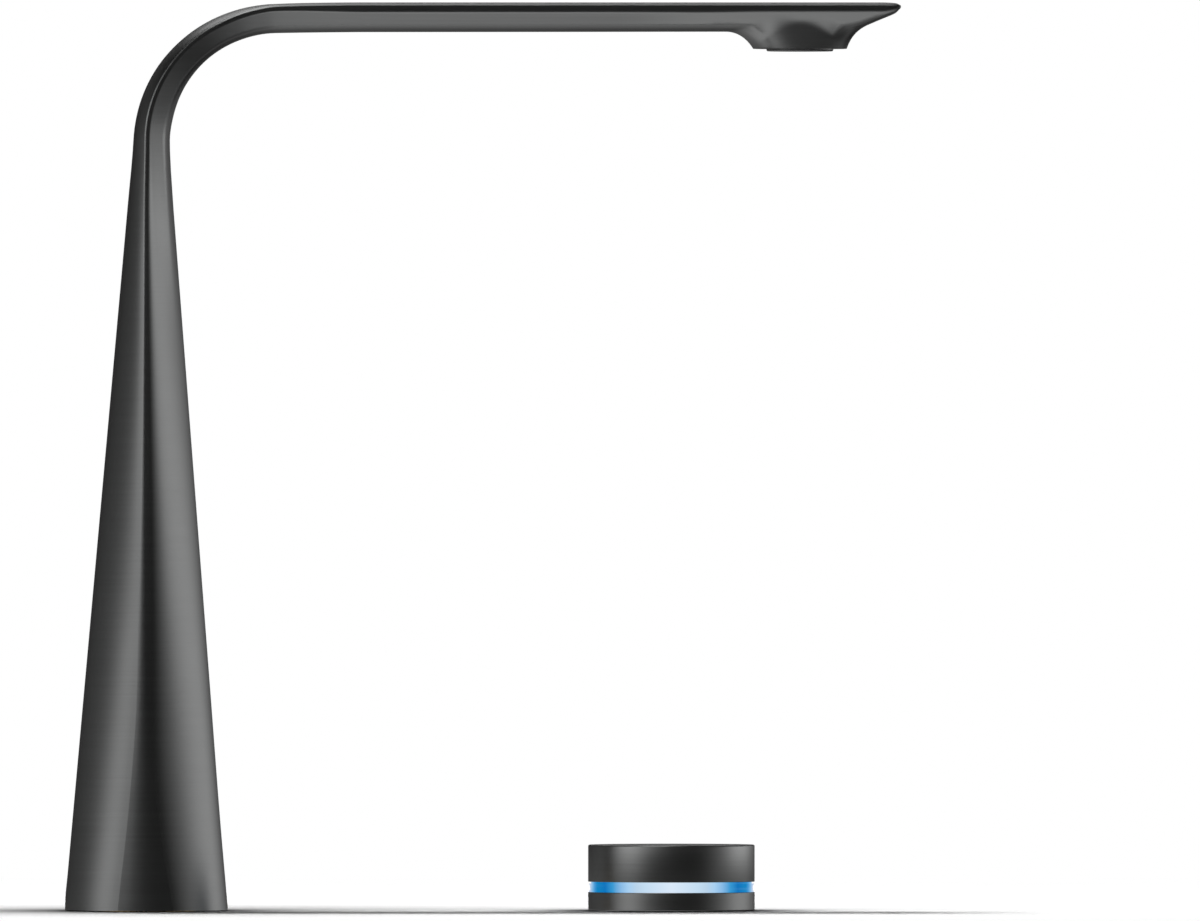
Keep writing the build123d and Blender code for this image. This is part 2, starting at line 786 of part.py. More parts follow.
with BuildPart() as band_lamps:
    with BuildSketch(level(board_top_z, dial_x)):
        with PolarLocations(lamp_centre_r, lamp_count):
            Rectangle(lamp_depth, lamp_width)
    extrude(amount=lamp_height)
save(band_lamps.part, "band_lamps")

with BuildPart() as turn_sensors:
    with BuildSketch(level(board_top_z, dial_x)):
        first_angle = 180 - sensor_spread_angle / 2
        with PolarLocations(sensor_centre_r, sensor_count, first_angle, sensor_spread_angle, endpoint=True):
            Rectangle(sensor_depth, sensor_width)
    extrude(amount=sensor_height)
save(turn_sensors.part, "turn_sensors")

with BuildPart() as press_switch:
    with BuildSketch(level(board_top_z, dial_x)):
        Rectangle(switch_width, switch_width)
    extrude(amount=switch_height)
    fillet(press_switch.edges().filter_by(Axis.Z), switch_corner_r)
    ring(
        plunger_r + plunger_fit, 0, plunger_z - press_travel - plunger_fit,
        board_top_z + switch_height, dial_x, Mode.SUBTRACT,
    )
save(press_switch.part, "press_switch")

with BuildPart() as cable_socket:
    with BuildSketch(level(board_ledge_z - socket_height, dial_x)):
        Rectangle(socket_width, socket_depth)
        Rectangle(socket_width - 2 * socket_wall, socket_depth - 2 * socket_wall, mode=Mode.SUBTRACT)
    extrude(amount=socket_height)
    with BuildSketch(level(board_ledge_z - socket_wall, dial_x)):
        Rectangle(socket_width, socket_depth)
    extrude(amount=socket_wall)
save(cable_socket.part, "cable_socket")

# Light ring: a clear ring on the base whose hollow face glows below the cap, with a neck behind its lip
with BuildPart() as light_ring:
    turned(
        [
            (light_inner_r, base_height - light_spigot),
            (base_pocket_r - plate_fit, base_height - light_spigot),
            (base_pocket_r - plate_fit, base_height),
            (light_outer_r, base_height),
            (light_outer_r, band_top_z),
            (light_neck_r, band_top_z),
            (light_neck_r, light_shoulder_z),
            (light_inner_r + light_collar_wall, light_shoulder_z),
            (light_inner_r + light_collar_wall, light_top_z),
            (light_inner_r, light_top_z),
        ],
        dial_axis,
        dial_x,
    )
    with BuildSketch(upright(dial_x)):
        with BuildLine():
            hollow = ThreePointArc(
                (light_outer_r, base_height),
                (light_outer_r - band_hollow, (base_height + band_top_z) / 2),
                (light_outer_r, band_top_z),
            )
            Line(hollow @ 0, hollow @ 1)
        make_face()
    revolve(axis=dial_axis, mode=Mode.SUBTRACT)
save(light_ring.part, "light_ring")

with BuildPart() as wiper_seal:
    ring(cap_bore_r - wiper_gap, light_inner_r, light_top_z, light_top_z + wiper_height, dial_x)
save(wiper_seal.part, "wiper_seal")

# Chassis: flange on the board and a sleeve that guides the carriage, with windows for its keys
with BuildPart() as dial_chassis:
    ring(chassis_r, 0, board_top_z, chassis_top_z, dial_x)
    ring(sleeve_r, 0, chassis_top_z, sleeve_top_z, dial_x)
    ring(sleeve_bore_r, 0, board_top_z, sleeve_top_z, dial_x, Mode.SUBTRACT)
    with BuildSketch(level(key_bottom_z - press_travel - key_fit, dial_x)):
        with PolarLocations(sleeve_r, key_count, key_start_angle):
            Rectangle(4 * (sleeve_r - sleeve_bore_r), key_width + 2 * key_fit)
        Circle(sleeve_bore_r - slide_fit, mode=Mode.SUBTRACT)
    extrude(amount=key_height + press_travel + 2 * key_fit, mode=Mode.SUBTRACT)
    with BuildSketch(level(board_top_z, dial_x)):
        with PolarLocations(screw_circle_r, screw_count):
            Circle(screw_r + plate_fit)
    extrude(amount=chassis_flange, mode=Mode.SUBTRACT)
save(dial_chassis.part, "dial_chassis")

with BuildPart() as chassis_screws:
    with BuildSketch(level(screw_bottom_z, dial_x)):
        with PolarLocations(screw_circle_r, screw_count):
            Circle(screw_r)
    extrude(amount=chassis_top_z - screw_bottom_z)
    with BuildSketch(level(chassis_top_z, dial_x)):
        with PolarLocations(screw_circle_r, screw_count):
            Circle(screw_head_r)
    extrude(amount=screw_head_height)
    with BuildSketch(level(chassis_top_z + screw_head_height / 2, dial_x)):
        with PolarLocations(screw_circle_r, screw_count):
            Rectangle(screw_slot_width, 2 * screw_head_r)
    extrude(amount=screw_head_height, mode=Mode.SUBTRACT)
save(chassis_screws.part, "chassis_screws")

# Return spring round the sleeve, between the chassis and the carriage
with BuildPart() as return_spring:
    with BuildLine(level(chassis_top_z + spring_wire_r, dial_x)) as coil:
        Helix(spring_height / spring_turns, spring_height, spring_r)
    with BuildSketch(Plane(origin=coil.line @ 0, z_dir=coil.line % 0)):
        Circle(spring_wire_r)
    sweep(path=coil.line)
save(return_spring.part, "return_spring")

# Carriage: goes down with the cap and doesn't turn
with BuildPart() as press_carriage:
    ring(sleeve_bore_r - slide_fit, 0, carriage_bottom_z, carriage_top_z, dial_x)
    ring(carriage_flange_r, 0, carriage_top_z - carriage_flange_height, carriage_top_z, dial_x)
    with BuildSketch(level(key_bottom_z, dial_x)):
        with PolarLocations(key_centre_r, key_count, key_start_angle):
            Rectangle(key_depth, key_width)
    extrude(amount=key_height)
    ring(spindle_r + spindle_fit, 0, carriage_bottom_z, carriage_top_z, dial_x, Mode.SUBTRACT)
    ring(clip_r + clip_room, 0, carriage_bottom_z, clip_z + clip_height + clip_gap, dial_x, Mode.SUBTRACT)
save(press_carriage.part, "press_carriage")

with BuildPart() as thrust_washer:
    ring(thrust_washer_r, spindle_r + spindle_fit, carriage_top_z, spindle_head_z, dial_x)
save(thrust_washer.part, "thrust_washer")

with BuildPart() as switch_plunger:
    ring(plunger_r, 0, plunger_z, spindle_bottom_z - plunger_gap, dial_x)
    fillet(switch_plunger.edges().group_by(Axis.Z)[-1], plunger_edge_r)
save(switch_plunger.part, "switch_plunger")

# Turning pieces: cap, hub, magnet ring, spindle, its screw and its clip
with BuildPart() as dial_cap:
    ring(dial_r, 0, cap_bottom_z, dial_height, dial_x)
    fillet(dial_cap.edges().group_by(Axis.Z)[-1], cap_edge_r)
    ring(cap_bore_r, 0, cap_bottom_z, hub_top_z, dial_x, Mode.SUBTRACT)
    ring(dial_r - cap_lip_wall, 0, cap_bottom_z, cap_bottom_z + cap_lip_depth, dial_x, Mode.SUBTRACT)
save(dial_cap.part, "dial_cap")

with BuildPart() as dial_hub:
    ring(cap_bore_r - hub_press_gap, 0, hub_plate_z, hub_top_z, dial_x)
    ring(hub_wall_r, hub_wall_r - hub_wall, magnet_bottom_z + magnet_height, hub_plate_z, dial_x)
    ring(spindle_head_r + plate_fit, 0, hub_plate_z, spindle_top_z, dial_x, Mode.SUBTRACT)
    ring(hub_screw_r + plate_fit, 0, spindle_top_z, hub_top_z, dial_x, Mode.SUBTRACT)
    ring(hub_screw_head_r + plate_fit, 0, hub_screw_z, hub_top_z, dial_x, Mode.SUBTRACT)
save(dial_hub.part, "dial_hub")

with BuildPart() as magnet_ring:
    ring(hub_wall_r, hub_wall_r - hub_wall, magnet_bottom_z, magnet_bottom_z + magnet_height, dial_x)
save(magnet_ring.part, "magnet_ring")

with BuildPart() as dial_spindle:
    ring(spindle_r, 0, spindle_bottom_z, spindle_head_z, dial_x)
    ring(spindle_head_r, 0, spindle_head_z, spindle_top_z, dial_x)
    ring(spindle_r, clip_inner_r, clip_z, clip_z + clip_height, dial_x, Mode.SUBTRACT)
    ring(hub_screw_r + thread_fit, 0, spindle_top_z - hub_screw_length, spindle_top_z, dial_x, Mode.SUBTRACT)
save(dial_spindle.part, "dial_spindle")

with BuildPart() as hub_screw:
    ring(hub_screw_r, 0, spindle_top_z - hub_screw_length, hub_screw_z, dial_x)
    ring(hub_screw_head_r, 0, hub_screw_z, hub_top_z - plate_fit, dial_x)
    with BuildSketch(level(hub_screw_z + hub_screw_head_height / 2, dial_x)):
        Rectangle(screw_slot_width, 2 * hub_screw_head_r)
    extrude(amount=hub_screw_head_height, mode=Mode.SUBTRACT)
save(hub_screw.part, "hub_screw")

with BuildPart() as spindle_clip:
    ring(clip_r, clip_inner_r + thread_fit, clip_z + clip_slack, clip_z + clip_height - clip_slack, dial_x)
    with BuildSketch(level(clip_z, dial_x)):
        with Locations((clip_r, 0)):
            Rectangle(2 * clip_r, clip_opening)
    extrude(amount=clip_height, mode=Mode.SUBTRACT)
save(spindle_clip.part, "spindle_clip")
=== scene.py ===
import bpy
import json
import math
from bisect import bisect_right
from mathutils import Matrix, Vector


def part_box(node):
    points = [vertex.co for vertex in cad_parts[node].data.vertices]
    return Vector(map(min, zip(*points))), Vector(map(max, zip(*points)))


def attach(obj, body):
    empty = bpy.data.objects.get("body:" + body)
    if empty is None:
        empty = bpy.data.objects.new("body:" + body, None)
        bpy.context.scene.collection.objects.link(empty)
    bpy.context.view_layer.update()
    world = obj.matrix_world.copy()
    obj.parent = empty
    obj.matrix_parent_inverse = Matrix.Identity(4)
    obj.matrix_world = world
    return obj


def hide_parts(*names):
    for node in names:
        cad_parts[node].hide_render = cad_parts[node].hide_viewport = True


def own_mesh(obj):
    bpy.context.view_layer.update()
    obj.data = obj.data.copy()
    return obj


# Basin tap with a separate round dial, in metres: the foot's centre on the deck is the origin.
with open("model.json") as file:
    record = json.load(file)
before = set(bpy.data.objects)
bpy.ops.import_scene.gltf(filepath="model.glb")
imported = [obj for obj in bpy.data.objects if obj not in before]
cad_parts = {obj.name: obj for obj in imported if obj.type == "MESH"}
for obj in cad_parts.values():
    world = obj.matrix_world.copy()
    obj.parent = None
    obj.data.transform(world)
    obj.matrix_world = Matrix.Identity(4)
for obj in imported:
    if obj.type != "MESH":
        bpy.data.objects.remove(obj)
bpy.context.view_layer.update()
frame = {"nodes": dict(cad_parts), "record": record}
mm = 0.001
dialX = 145.0                    # the dial's axis, in mm
shadeAngle = math.radians(38)    # faces that meet at less than this are shaded as one
bumpDistance = 0.0001


def clearSelection():
    bpy.ops.object.select_all(action="DESELECT")


def pick(piece):
    clearSelection()
    piece.select_set(True)
    bpy.context.view_layer.objects.active = piece


def paint(piece, material):
    piece.data.materials.clear()
    piece.data.materials.append(material)


# Smooth curve through measured stations that never overshoots them
def track(stations):
    xs = [s[0] for s in stations]
    ys = [s[1] for s in stations]
    steps = [(ys[i + 1] - ys[i]) / (xs[i + 1] - xs[i]) for i in range(len(xs) - 1)]
    tangents = [steps[0]]
    for i in range(1, len(steps)):
        before, after = steps[i - 1], steps[i]
        if before * after <= 0:
            tangents.append(0.0)
        else:
            left, right = xs[i] - xs[i - 1], xs[i + 1] - xs[i]
            weightA, weightB = 2 * right + left, right + 2 * left
            tangents.append((weightA + weightB) / (weightA / before + weightB / after))
    tangents.append(steps[-1])

    def value(x):
        if x <= xs[0]:
            return ys[0]
        if x >= xs[-1]:
            return ys[-1]
        i = bisect_right(xs, x) - 1
        width = xs[i + 1] - xs[i]
        t = (x - xs[i]) / width
        return (
            (1 + 2 * t) * (1 - t) ** 2 * ys[i]
            + t * (1 - t) ** 2 * width * tangents[i]
            + t * t * (3 - 2 * t) * ys[i + 1]
            + t * t * (t - 1) * width * tangents[i + 1]
        )
    return value


def bezier(a, b, c, d, t):
    u = 1 - t
    return tuple(
        u * u * u * a[k] + 3 * u * u * t * b[k] + 3 * u * t * t * c[k] + t * t * t * d[k]
        for k in range(len(a))
    )


# A socket of a material's graph that can be added, multiplied and so on, each as a maths node
class Wire:
    def __init__(self, graph, socket):
        self.graph = graph
        self.socket = socket

    def maths(self, operation, first, second):
        return self.graph.node("ShaderNodeMath", {"operation": operation}, {0: first, 1: second})

    def __add__(self, other):
        return self.maths("ADD", self, other)

    def __radd__(self, other):
        return self.maths("ADD", other, self)

    def __sub__(self, other):
        return self.maths("SUBTRACT", self, other)

    def __mul__(self, other):
        return self.maths("MULTIPLY", self, other)

    def __truediv__(self, other):
        return self.maths("DIVIDE", self, other)

    def __pow__(self, other):
        return self.maths("POWER", self, other)

    def __abs__(self):
        return self.maths("ABSOLUTE", self, 0.0)


class Graph:
    def __init__(self, tree):
        self.tree = tree
        tree.nodes.clear()

    # One node: its type, its settings first, then the values or links of its sockets
    def node(self, kind, settings=None, inputs=None, output=0):
        made = self.tree.nodes.new(kind)
        for key, value in (settings or {}).items():
            if key == "stops":
                ramp = made.color_ramp
                while len(ramp.elements) > 1:
                    ramp.elements.remove(ramp.elements[-1])
                ramp.elements[0].position = value[0][0]
                ramp.elements[0].color = value[0][1]
                for place, colour in value[1:]:
                    ramp.elements.new(place).color = colour
            else:
                setattr(made, key, value)
        for key, value in (inputs or {}).items():
            if isinstance(value, Wire):
                self.tree.links.new(value.socket, made.inputs[key])
            else:
                made.inputs[key].default_value = value
        return Wire(self, made.outputs[output]) if made.outputs else made


def newMaterial(name):
    material = bpy.data.materials.new(name)
    material.use_nodes = True
    return material, Graph(material.node_tree)


def finishSurface(graph, sockets):
    shader = graph.node("ShaderNodeBsdfPrincipled", None, sockets)
    graph.node("ShaderNodeOutputMaterial", None, {"Surface": shader})


def grey(level):
    return (level, level, level, 1.0)


view = {
    "lens": 1000.0,
    "sensorWidth": 36.0,
    "middle": (0.12528, 0.12417),    # what the photograph's middle looks at, X and Z
    "fieldWidth": 0.3315,
    "clipEnd": 100.0,
}
distance = view["fieldWidth"] * view["lens"] / view["sensorWidth"]
cameraData = bpy.data.cameras.new("camera")
cameraData.lens = view["lens"]
cameraData.sensor_width = view["sensorWidth"]
cameraData.clip_end = view["clipEnd"]
camera = bpy.data.objects.new("camera", cameraData)
camera.location = (view["middle"][0], -distance, view["middle"][1])
camera.rotation_euler = (math.radians(90), 0, 0)
bpy.context.scene.collection.objects.link(camera)
bpy.context.scene.camera = camera

bpy.context.scene.view_settings.view_transform = "Standard"

studio = {
    "worldLevel": 0.16,
    "backgroundLevel": 1.0,
    "floorSize": 7.0,
    "floorDrop": 0.0002,
    "floorColour": 0.97,
    "fadeFrom": 0.22,           # from here to fadeTo the floor turns into plain white
    "fadeTo": 0.7,
    "paintedShadowReach": 0.13,       # how far the painted contact shadow spreads, and how deep it is
    "paintedShadowDepth": 6.0,
    "paintedShadowSamples": 12,
}
world = bpy.data.worlds.new("studioWorld")
world.use_nodes = True
bpy.context.scene.world = world
sky = Graph(world.node_tree)
seen = sky.node("ShaderNodeLightPath")
isCamera = Wire(sky, seen.socket.node.outputs["Is Camera Ray"])
isGlossy = Wire(sky, seen.socket.node.outputs["Is Glossy Ray"])
isTransmission = Wire(sky, seen.socket.node.outputs["Is Transmission Ray"])
shown = sky.node("ShaderNodeClamp", None, {"Value": isCamera + isGlossy + isTransmission})
softLight = sky.node("ShaderNodeBackground", None,
                     {"Color": grey(1.0), "Strength": studio["worldLevel"]})
whiteBack = sky.node("ShaderNodeBackground", None,
                     {"Color": grey(1.0), "Strength": studio["backgroundLevel"]})
both = sky.node("ShaderNodeMixShader", None, {0: shown, 1: softLight, 2: whiteBack})
sky.node("ShaderNodeOutputWorld", None, {"Surface": both})

clearSelection()
bpy.ops.mesh.primitive_plane_add(size=studio["floorSize"],
                                 location=(view["middle"][0], 0, -studio["floorDrop"]))
floor = bpy.context.active_object
floor.name = "floor"
floorMaterial, g = newMaterial("paleFloor")
place = g.node("ShaderNodeTexCoord", None, None, "Object")
away = g.node("ShaderNodeVectorMath", {"operation": "LENGTH"}, {0: place}, "Value")
faded = g.node("ShaderNodeMapRange", {"interpolation_type": "SMOOTHSTEP"},
               {"Value": away, "From Min": studio["fadeFrom"], "From Max": studio["fadeTo"]})
# painted shade: ambient occlusion darkens the floor's colour near the object, a contact shadow
# painted in beside the real shadow from softBoxTop
near = g.node("ShaderNodeAmbientOcclusion", {"samples": studio["paintedShadowSamples"]},
              {"Distance": studio["paintedShadowReach"]}, "AO")
tone = (near ** studio["paintedShadowDepth"]) * studio["floorColour"]
paintedShadowColour = g.node("ShaderNodeCombineColor", None, {0: tone, 1: tone, 2: tone})
lit = g.node("ShaderNodeBsdfDiffuse", None, {"Color": paintedShadowColour})
white = g.node("ShaderNodeEmission", None,
               {"Color": grey(1.0), "Strength": studio["backgroundLevel"]})
joined = g.node("ShaderNodeMixShader", None, {0: faded, 1: lit, 2: white})
g.node("ShaderNodeOutputMaterial", None, {"Surface": joined})
paint(floor, floorMaterial)
floor.visible_glossy = False


# Soft boxes stand round the object: azimuth 0 is the camera's side, + to the right
def around(azimuth, elevation, reach, centre):
    a, e = math.radians(azimuth), math.radians(elevation)
    return Vector((
        centre[0] + reach * math.cos(e) * math.sin(a),
        centre[1] - reach * math.cos(e) * math.cos(a),
        centre[2] + reach * math.sin(e),
    ))


lamps = {
    "centre": (0.07, 0.0, 0.12),
    "boxes": [
        # name, azimuth, elevation, distance, width, height, level
        ("softBoxLeft", -60, 20, 2.2, 0.9, 1.4, 1.1),
        ("softBoxRight", 105, 20, 2.2, 0.9, 1.4, 1.1),
        ("softBoxTop", 180, 81, 2.0, 0.32, 0.28, 138.0),
    ],
}
for name, azimuth, elevation, reach, width, height, level in lamps["boxes"]:
    lampData = bpy.data.lights.new(name, "AREA")
    lampData.shape = "RECTANGLE"
    lampData.size = width
    lampData.size_y = height
    lampData.energy = level * math.pi * width * height
    lamp = bpy.data.objects.new(name, lampData)
    lamp.location = around(azimuth, elevation, reach, lamps["centre"])
    toCentre = Vector(lamps["centre"]) - lamp.location
    lamp.rotation_euler = toCentre.to_track_quat("-Z", "Y").to_euler()
    lamp.visible_camera = False
    lamp.visible_glossy = False      # the tent below is what the metal shows
    bpy.context.scene.collection.objects.link(lamp)

# A light tent round the object, seen only in reflections: bright panels and dark cards, all with
# soft edges. Each one covers what the ones before it left.
tent = {
    "reach": 3.2,
    "centre": (0.07, 0.0, 0.12),
    "level": 0.33,
    "segments": 180,
    "rings": 90,
    "panels": [
        # name, azimuth, elevation, half width, half height, level, hardness of the edge
        ("tableGlow", -76, -63.8, 104.2, 23.9, 1.38, 8),
        ("tableShade", 60.3, -47.7, 111.3, 16.6, 0.11, 8),
        ("boxLeft", -49, 20.8, 30.1, 18.4, 4.4, 4.8),
        ("boxRight", 109.4, 3, 23.9, 4.4, 3.6, 3.4),
        ("cardUpperLeft", -41.3, 42.2, 155.3, 25.9, 0.0, 8),
        ("boxHigh", -48.9, 73.1, 39.9, 13.7, 4.49, 8),
        ("cardBackLeft", -169.5, 4.7, 47.8, 14.4, 0.02, 2.3),
        ("boxBack", -176.4, 33.8, 19.7, 6, 2.37, 8),
        ("cardFront", 6.1, -7.4, 51.6, 16.4, 0.025, 8),
        ("cardBackRight", 160.3, -15.4, 23.4, 8.6, 0.01, 8),
        ("headGlow", 0, -71.5, 50, 7, 2.0, 3),
    ],
}


def tentLevel(azimuth, elevation):
    level = tent["level"]
    for name, middle, height, halfWidth, halfHeight, own, hardness in tent["panels"]:
        aside = (azimuth - middle + 180) % 360 - 180
        cover = 1 / (1 + abs(aside / halfWidth) ** hardness)
        cover /= 1 + abs((elevation - height) / halfHeight) ** hardness
        level += (own - level) * cover
    return level


clearSelection()
bpy.ops.mesh.primitive_uv_sphere_add(segments=tent["segments"], ring_count=tent["rings"],
                                     radius=tent["reach"], location=tent["centre"])
tentShell = bpy.context.active_object
tentShell.name = "lightTent"
levels = tentShell.data.color_attributes.new("level", "FLOAT_COLOR", "POINT")
for vertex in tentShell.data.vertices:
    x, y, z = vertex.co / tent["reach"]
    own = tentLevel(math.degrees(math.atan2(x, -y)),
                    math.degrees(math.asin(max(-1.0, min(1.0, z)))))
    levels.data[vertex.index].color = (own, own, own, 1.0)
tentMaterial, g = newMaterial("tentCloth")
own = g.node("ShaderNodeAttribute", {"attribute_name": "level"}, None, "Color")
shine = g.node("ShaderNodeEmission", None, {"Color": own, "Strength": 1.0})
g.node("ShaderNodeOutputMaterial", None, {"Surface": shine})
paint(tentShell, tentMaterial)
tentShell.visible_camera = False
tentShell.visible_diffuse = False
tentShell.visible_transmission = False
tentShell.visible_shadow = False
print("studio: camera, floor, lamps and light tent are in place")


# Every section lies on a plane that follows the spout: level up the column, turning round the
# bend's pivot, upright along the beam. A track is a row of (place along the spout, value), in mm
# and degrees. outer, inner and wide are how far the back, the nose and the widest line are from
# the pivot's axis in that plane; half is the half width and edge the radius beside the widest line.
spout = {
    "pivotX": 35.6,
    "pivotZ": 212.5,
    "degreeLength": 0.6,        # path length that stands for a degree of the bend
    "bendEnd": 266.5,           # path at the end of the bend
    "beamFrom": 58.9,           # X from which the beam has tracks of its own
    "headPath": 300,            # a path past every station, for what the beam keeps from the bend
    "outer": [
        (0, 58.1), (2.8, 58.05), (9.67, 57.43), (196.1, 40.65), (212.5, 39.18), (222.7, 38.73),
        (231.1, 38.39), (241.9, 37.87), (251.5, 37.63), (259.9, 37.48), (266.5, 37.58),
        (276.9, 37.84), (288.9, 37.98),
    ],
    "inner": [
        (0, 13.1), (3, 13.35), (23.5, 15.13), (60, 17.92), (110, 21.74), (160, 25.55), (185, 27.46),
        (196.1, 28.29), (212.5, 29.15), (220.3, 28.98), (231.7, 29.12), (243.7, 29.34),
        (255.7, 29.5), (266.5, 29.74), (276.9, 29.9), (288.9, 30.02),
    ],
    "wide": [
        (0, 35.6), (58, 35.9), (113, 35.85), (196.1, 35.68), (212.5, 35.42), (248.5, 35.37),
        (253, 35.48), (257.5, 35.8), (262, 36.18), (266.5, 36.65), (275, 36.95), (287, 37.09),
        (289.8, 37.1),
    ],
    "half": [
        (0, 22.5), (85, 22.2), (140, 21.2), (168, 20.3), (196, 19.0), (212.5, 18.6), (266.5, 17.75),
    ],
    "edge": [
        (0, 22.5), (30, 12.0), (58, 5.6), (86, 3.2), (113, 2.0), (141, 1.2), (168, 0.8),
        (212.5, 0.7), (242.5, 0.45), (262, 0.15),
    ],
    # flat of the rim, and how it faces
    "bevel": [(0, 0), (224.5, 0), (242.5, 0.25), (262, 0.55)],
    "bevelAngle": 35.0,
    "backAngle": [
        (0, 20), (58, 22), (86, 30), (113, 32), (168, 33), (196, 42), (212.5, 52), (218.5, 62),
        (224.5, 66), (242.5, 70), (257.5, 76), (266.5, 84),
    ],
    "backStart": [(0, 9.46), (113, 9.8), (168, 10.0), (196, 9.5), (224.5, 7.3), (266.5, 6.4)],
    "backEnd": [
        (0, 9.46), (58, 8.5), (86, 7.5), (113, 6.5), (168, 4.4), (196, 4.6), (212.5, 5.5),
        (224.5, 7.0), (266.5, 6.4),
    ],
    # end of the edge's arc, and the straight wall after it
    "turn": [(0, 20), (58, 12), (86, 9), (113, 8), (212.5, 8), (266.5, 4)],
    "wall": [
        (0, 0), (40, 0), (58, 0.6), (86, 1.1), (113, 1.1), (141, 0.9), (168, 0.6), (196, 0.3),
        (212.5, 0.2), (242.5, 0.35), (266.5, 0.5), (289, 0.75),
    ],
    "flank": [
        (0, 0.42), (100, 0.36), (140, 0.33), (196, 0.34), (212.5, 0.4), (224, 0.36), (266.5, 0.42),
    ],
    "nose": [(0, 0.42), (190, 0.33), (205, 0.5), (212.5, 0.55), (224, 0.6), (285, 0.6)],
    # higher up the flank turns at a corner into a flat run that ends in the nose
    "facet": [(0, 0), (150, 0), (212, 1)],
    "corner": [(0, 0.6), (212.5, 0.55), (262, 0.55), (289, 1.0)],
    "facetAngle": [(0, 44), (240, 44), (289, 45)],
    "facetEnd": 0.74,           # share of the way to the nose where the flat run ends
    "facetHandle": 0.6,
    "backPoints": 18,
    "edgePoints": 12,
    "wallPoints": 2,
    "flankPoints": 30,
    # beam and head, by X: top, underside, widest line and half width
    "top": [
        (58.9, 250.48), (203.6, 250.48), (206.8, 250.3), (207.3, 250.16), (207.7, 249.96),
        (208.0, 249.76), (208.2, 249.56), (208.28, 249.42),
    ],
    "under": [
        (58.9, 242.52), (125, 242.58), (150, 242.62), (190, 242.64), (192.5, 242.74),
        (194.5, 242.98), (197.0, 243.62), (199.9, 244.76), (202.6, 245.92), (205.4, 247.08),
        (206.8, 247.72), (207.3, 248.1), (207.7, 248.5), (208.0, 248.84), (208.2, 249.03),
        (208.28, 249.16),
    ],
    "widest": [(58.9, 249.6), (200, 249.6), (206.8, 249.5), (207.7, 249.36), (208.3, 249.28)],
    "across": [
        (58.9, 17.75), (206.0, 17.75), (206.8, 17.7), (207.3, 17.6), (207.7, 17.45), (208.0, 17.25),
        (208.2, 17.0), (208.28, 16.85),
    ],
    "rim": [(58.9, 0.15), (206.8, 0.15), (208.28, 0.08)],
    "rimBevel": [
        (58.9, 0.55), (203.6, 0.55), (206.8, 0.42), (207.3, 0.36), (207.7, 0.26), (208.0, 0.16),
        (208.28, 0.03),
    ],
    "side": [
        (58.9, 0.75), (150, 0.75), (170, 0.65), (203, 0.65), (206.8, 0.3), (207.7, 0.1),
        (208.28, 0.0),
    ],
    "headCorner": [(58.9, 1.0), (150, 1.0), (170, 0.85), (203, 0.8), (207, 0.4), (208.28, 0.1)],
    "headAngle": [(58.9, 45), (130, 44), (150, 40), (165, 37), (208.3, 36.5)],
    "headNose": [(58.9, 0.6), (188, 0.6), (200, 0.72), (206, 0.75)],
}
sectionKeys = ("bevel", "backAngle", "backStart", "backEnd", "turn", "wall", "flank", "nose",
               "facet", "corner", "facetAngle")
tracks = {key: track(value) for key, value in spout.items() if isinstance(value, list)}


# Half of a section, from the back's middle to the nose. Its points are (towards the nose, across),
# measured from the widest line.
def halfSection(back, front, half, edge, bevel, backAngle, backStart, backEnd, **side):
    lean = math.radians(backAngle)
    facing = math.radians(spout["bevelAngle"])
    flat = (bevel * math.cos(facing), bevel * math.sin(facing))
    tilt = min(facing, lean)
    apex = (-back, 0.0)
    edgeStart = (-edge * math.sin(lean) - flat[0], half - edge * (1 - math.cos(lean)) - flat[1])
    backHandle = (edgeStart[0] - backEnd * math.cos(lean), edgeStart[1] - backEnd * math.sin(lean))
    points = [bezier(apex, (-back, backStart), backHandle, edgeStart, i / spout["backPoints"])
              for i in range(spout["backPoints"])]
    edgeEnd, flankPoints = flankCurve(front, half, edge, **side)
    turn = math.radians(side["turn"])
    above = spout["edgePoints"] // 2
    # round the edge, with the bevel's flat in the middle
    for i in range(spout["edgePoints"]):
        if i < above:
            angle = -lean + (lean - facing) * i / (above - 1) if lean > facing else -lean
            offset = flat
        else:
            angle = -tilt + (tilt + turn) * (i - above) / above
            offset = (0.0, 0.0)
        points.append((edge * math.sin(angle) - offset[0],
                       half - edge * (1 - math.cos(angle)) - offset[1]))
    for i in range(spout["wallPoints"]):
        share = i / spout["wallPoints"]
        points.append(tuple(edgeEnd[k] + (flankPoints[0][k] - edgeEnd[k]) * share
                            for k in range(2)))
    return points + flankPoints


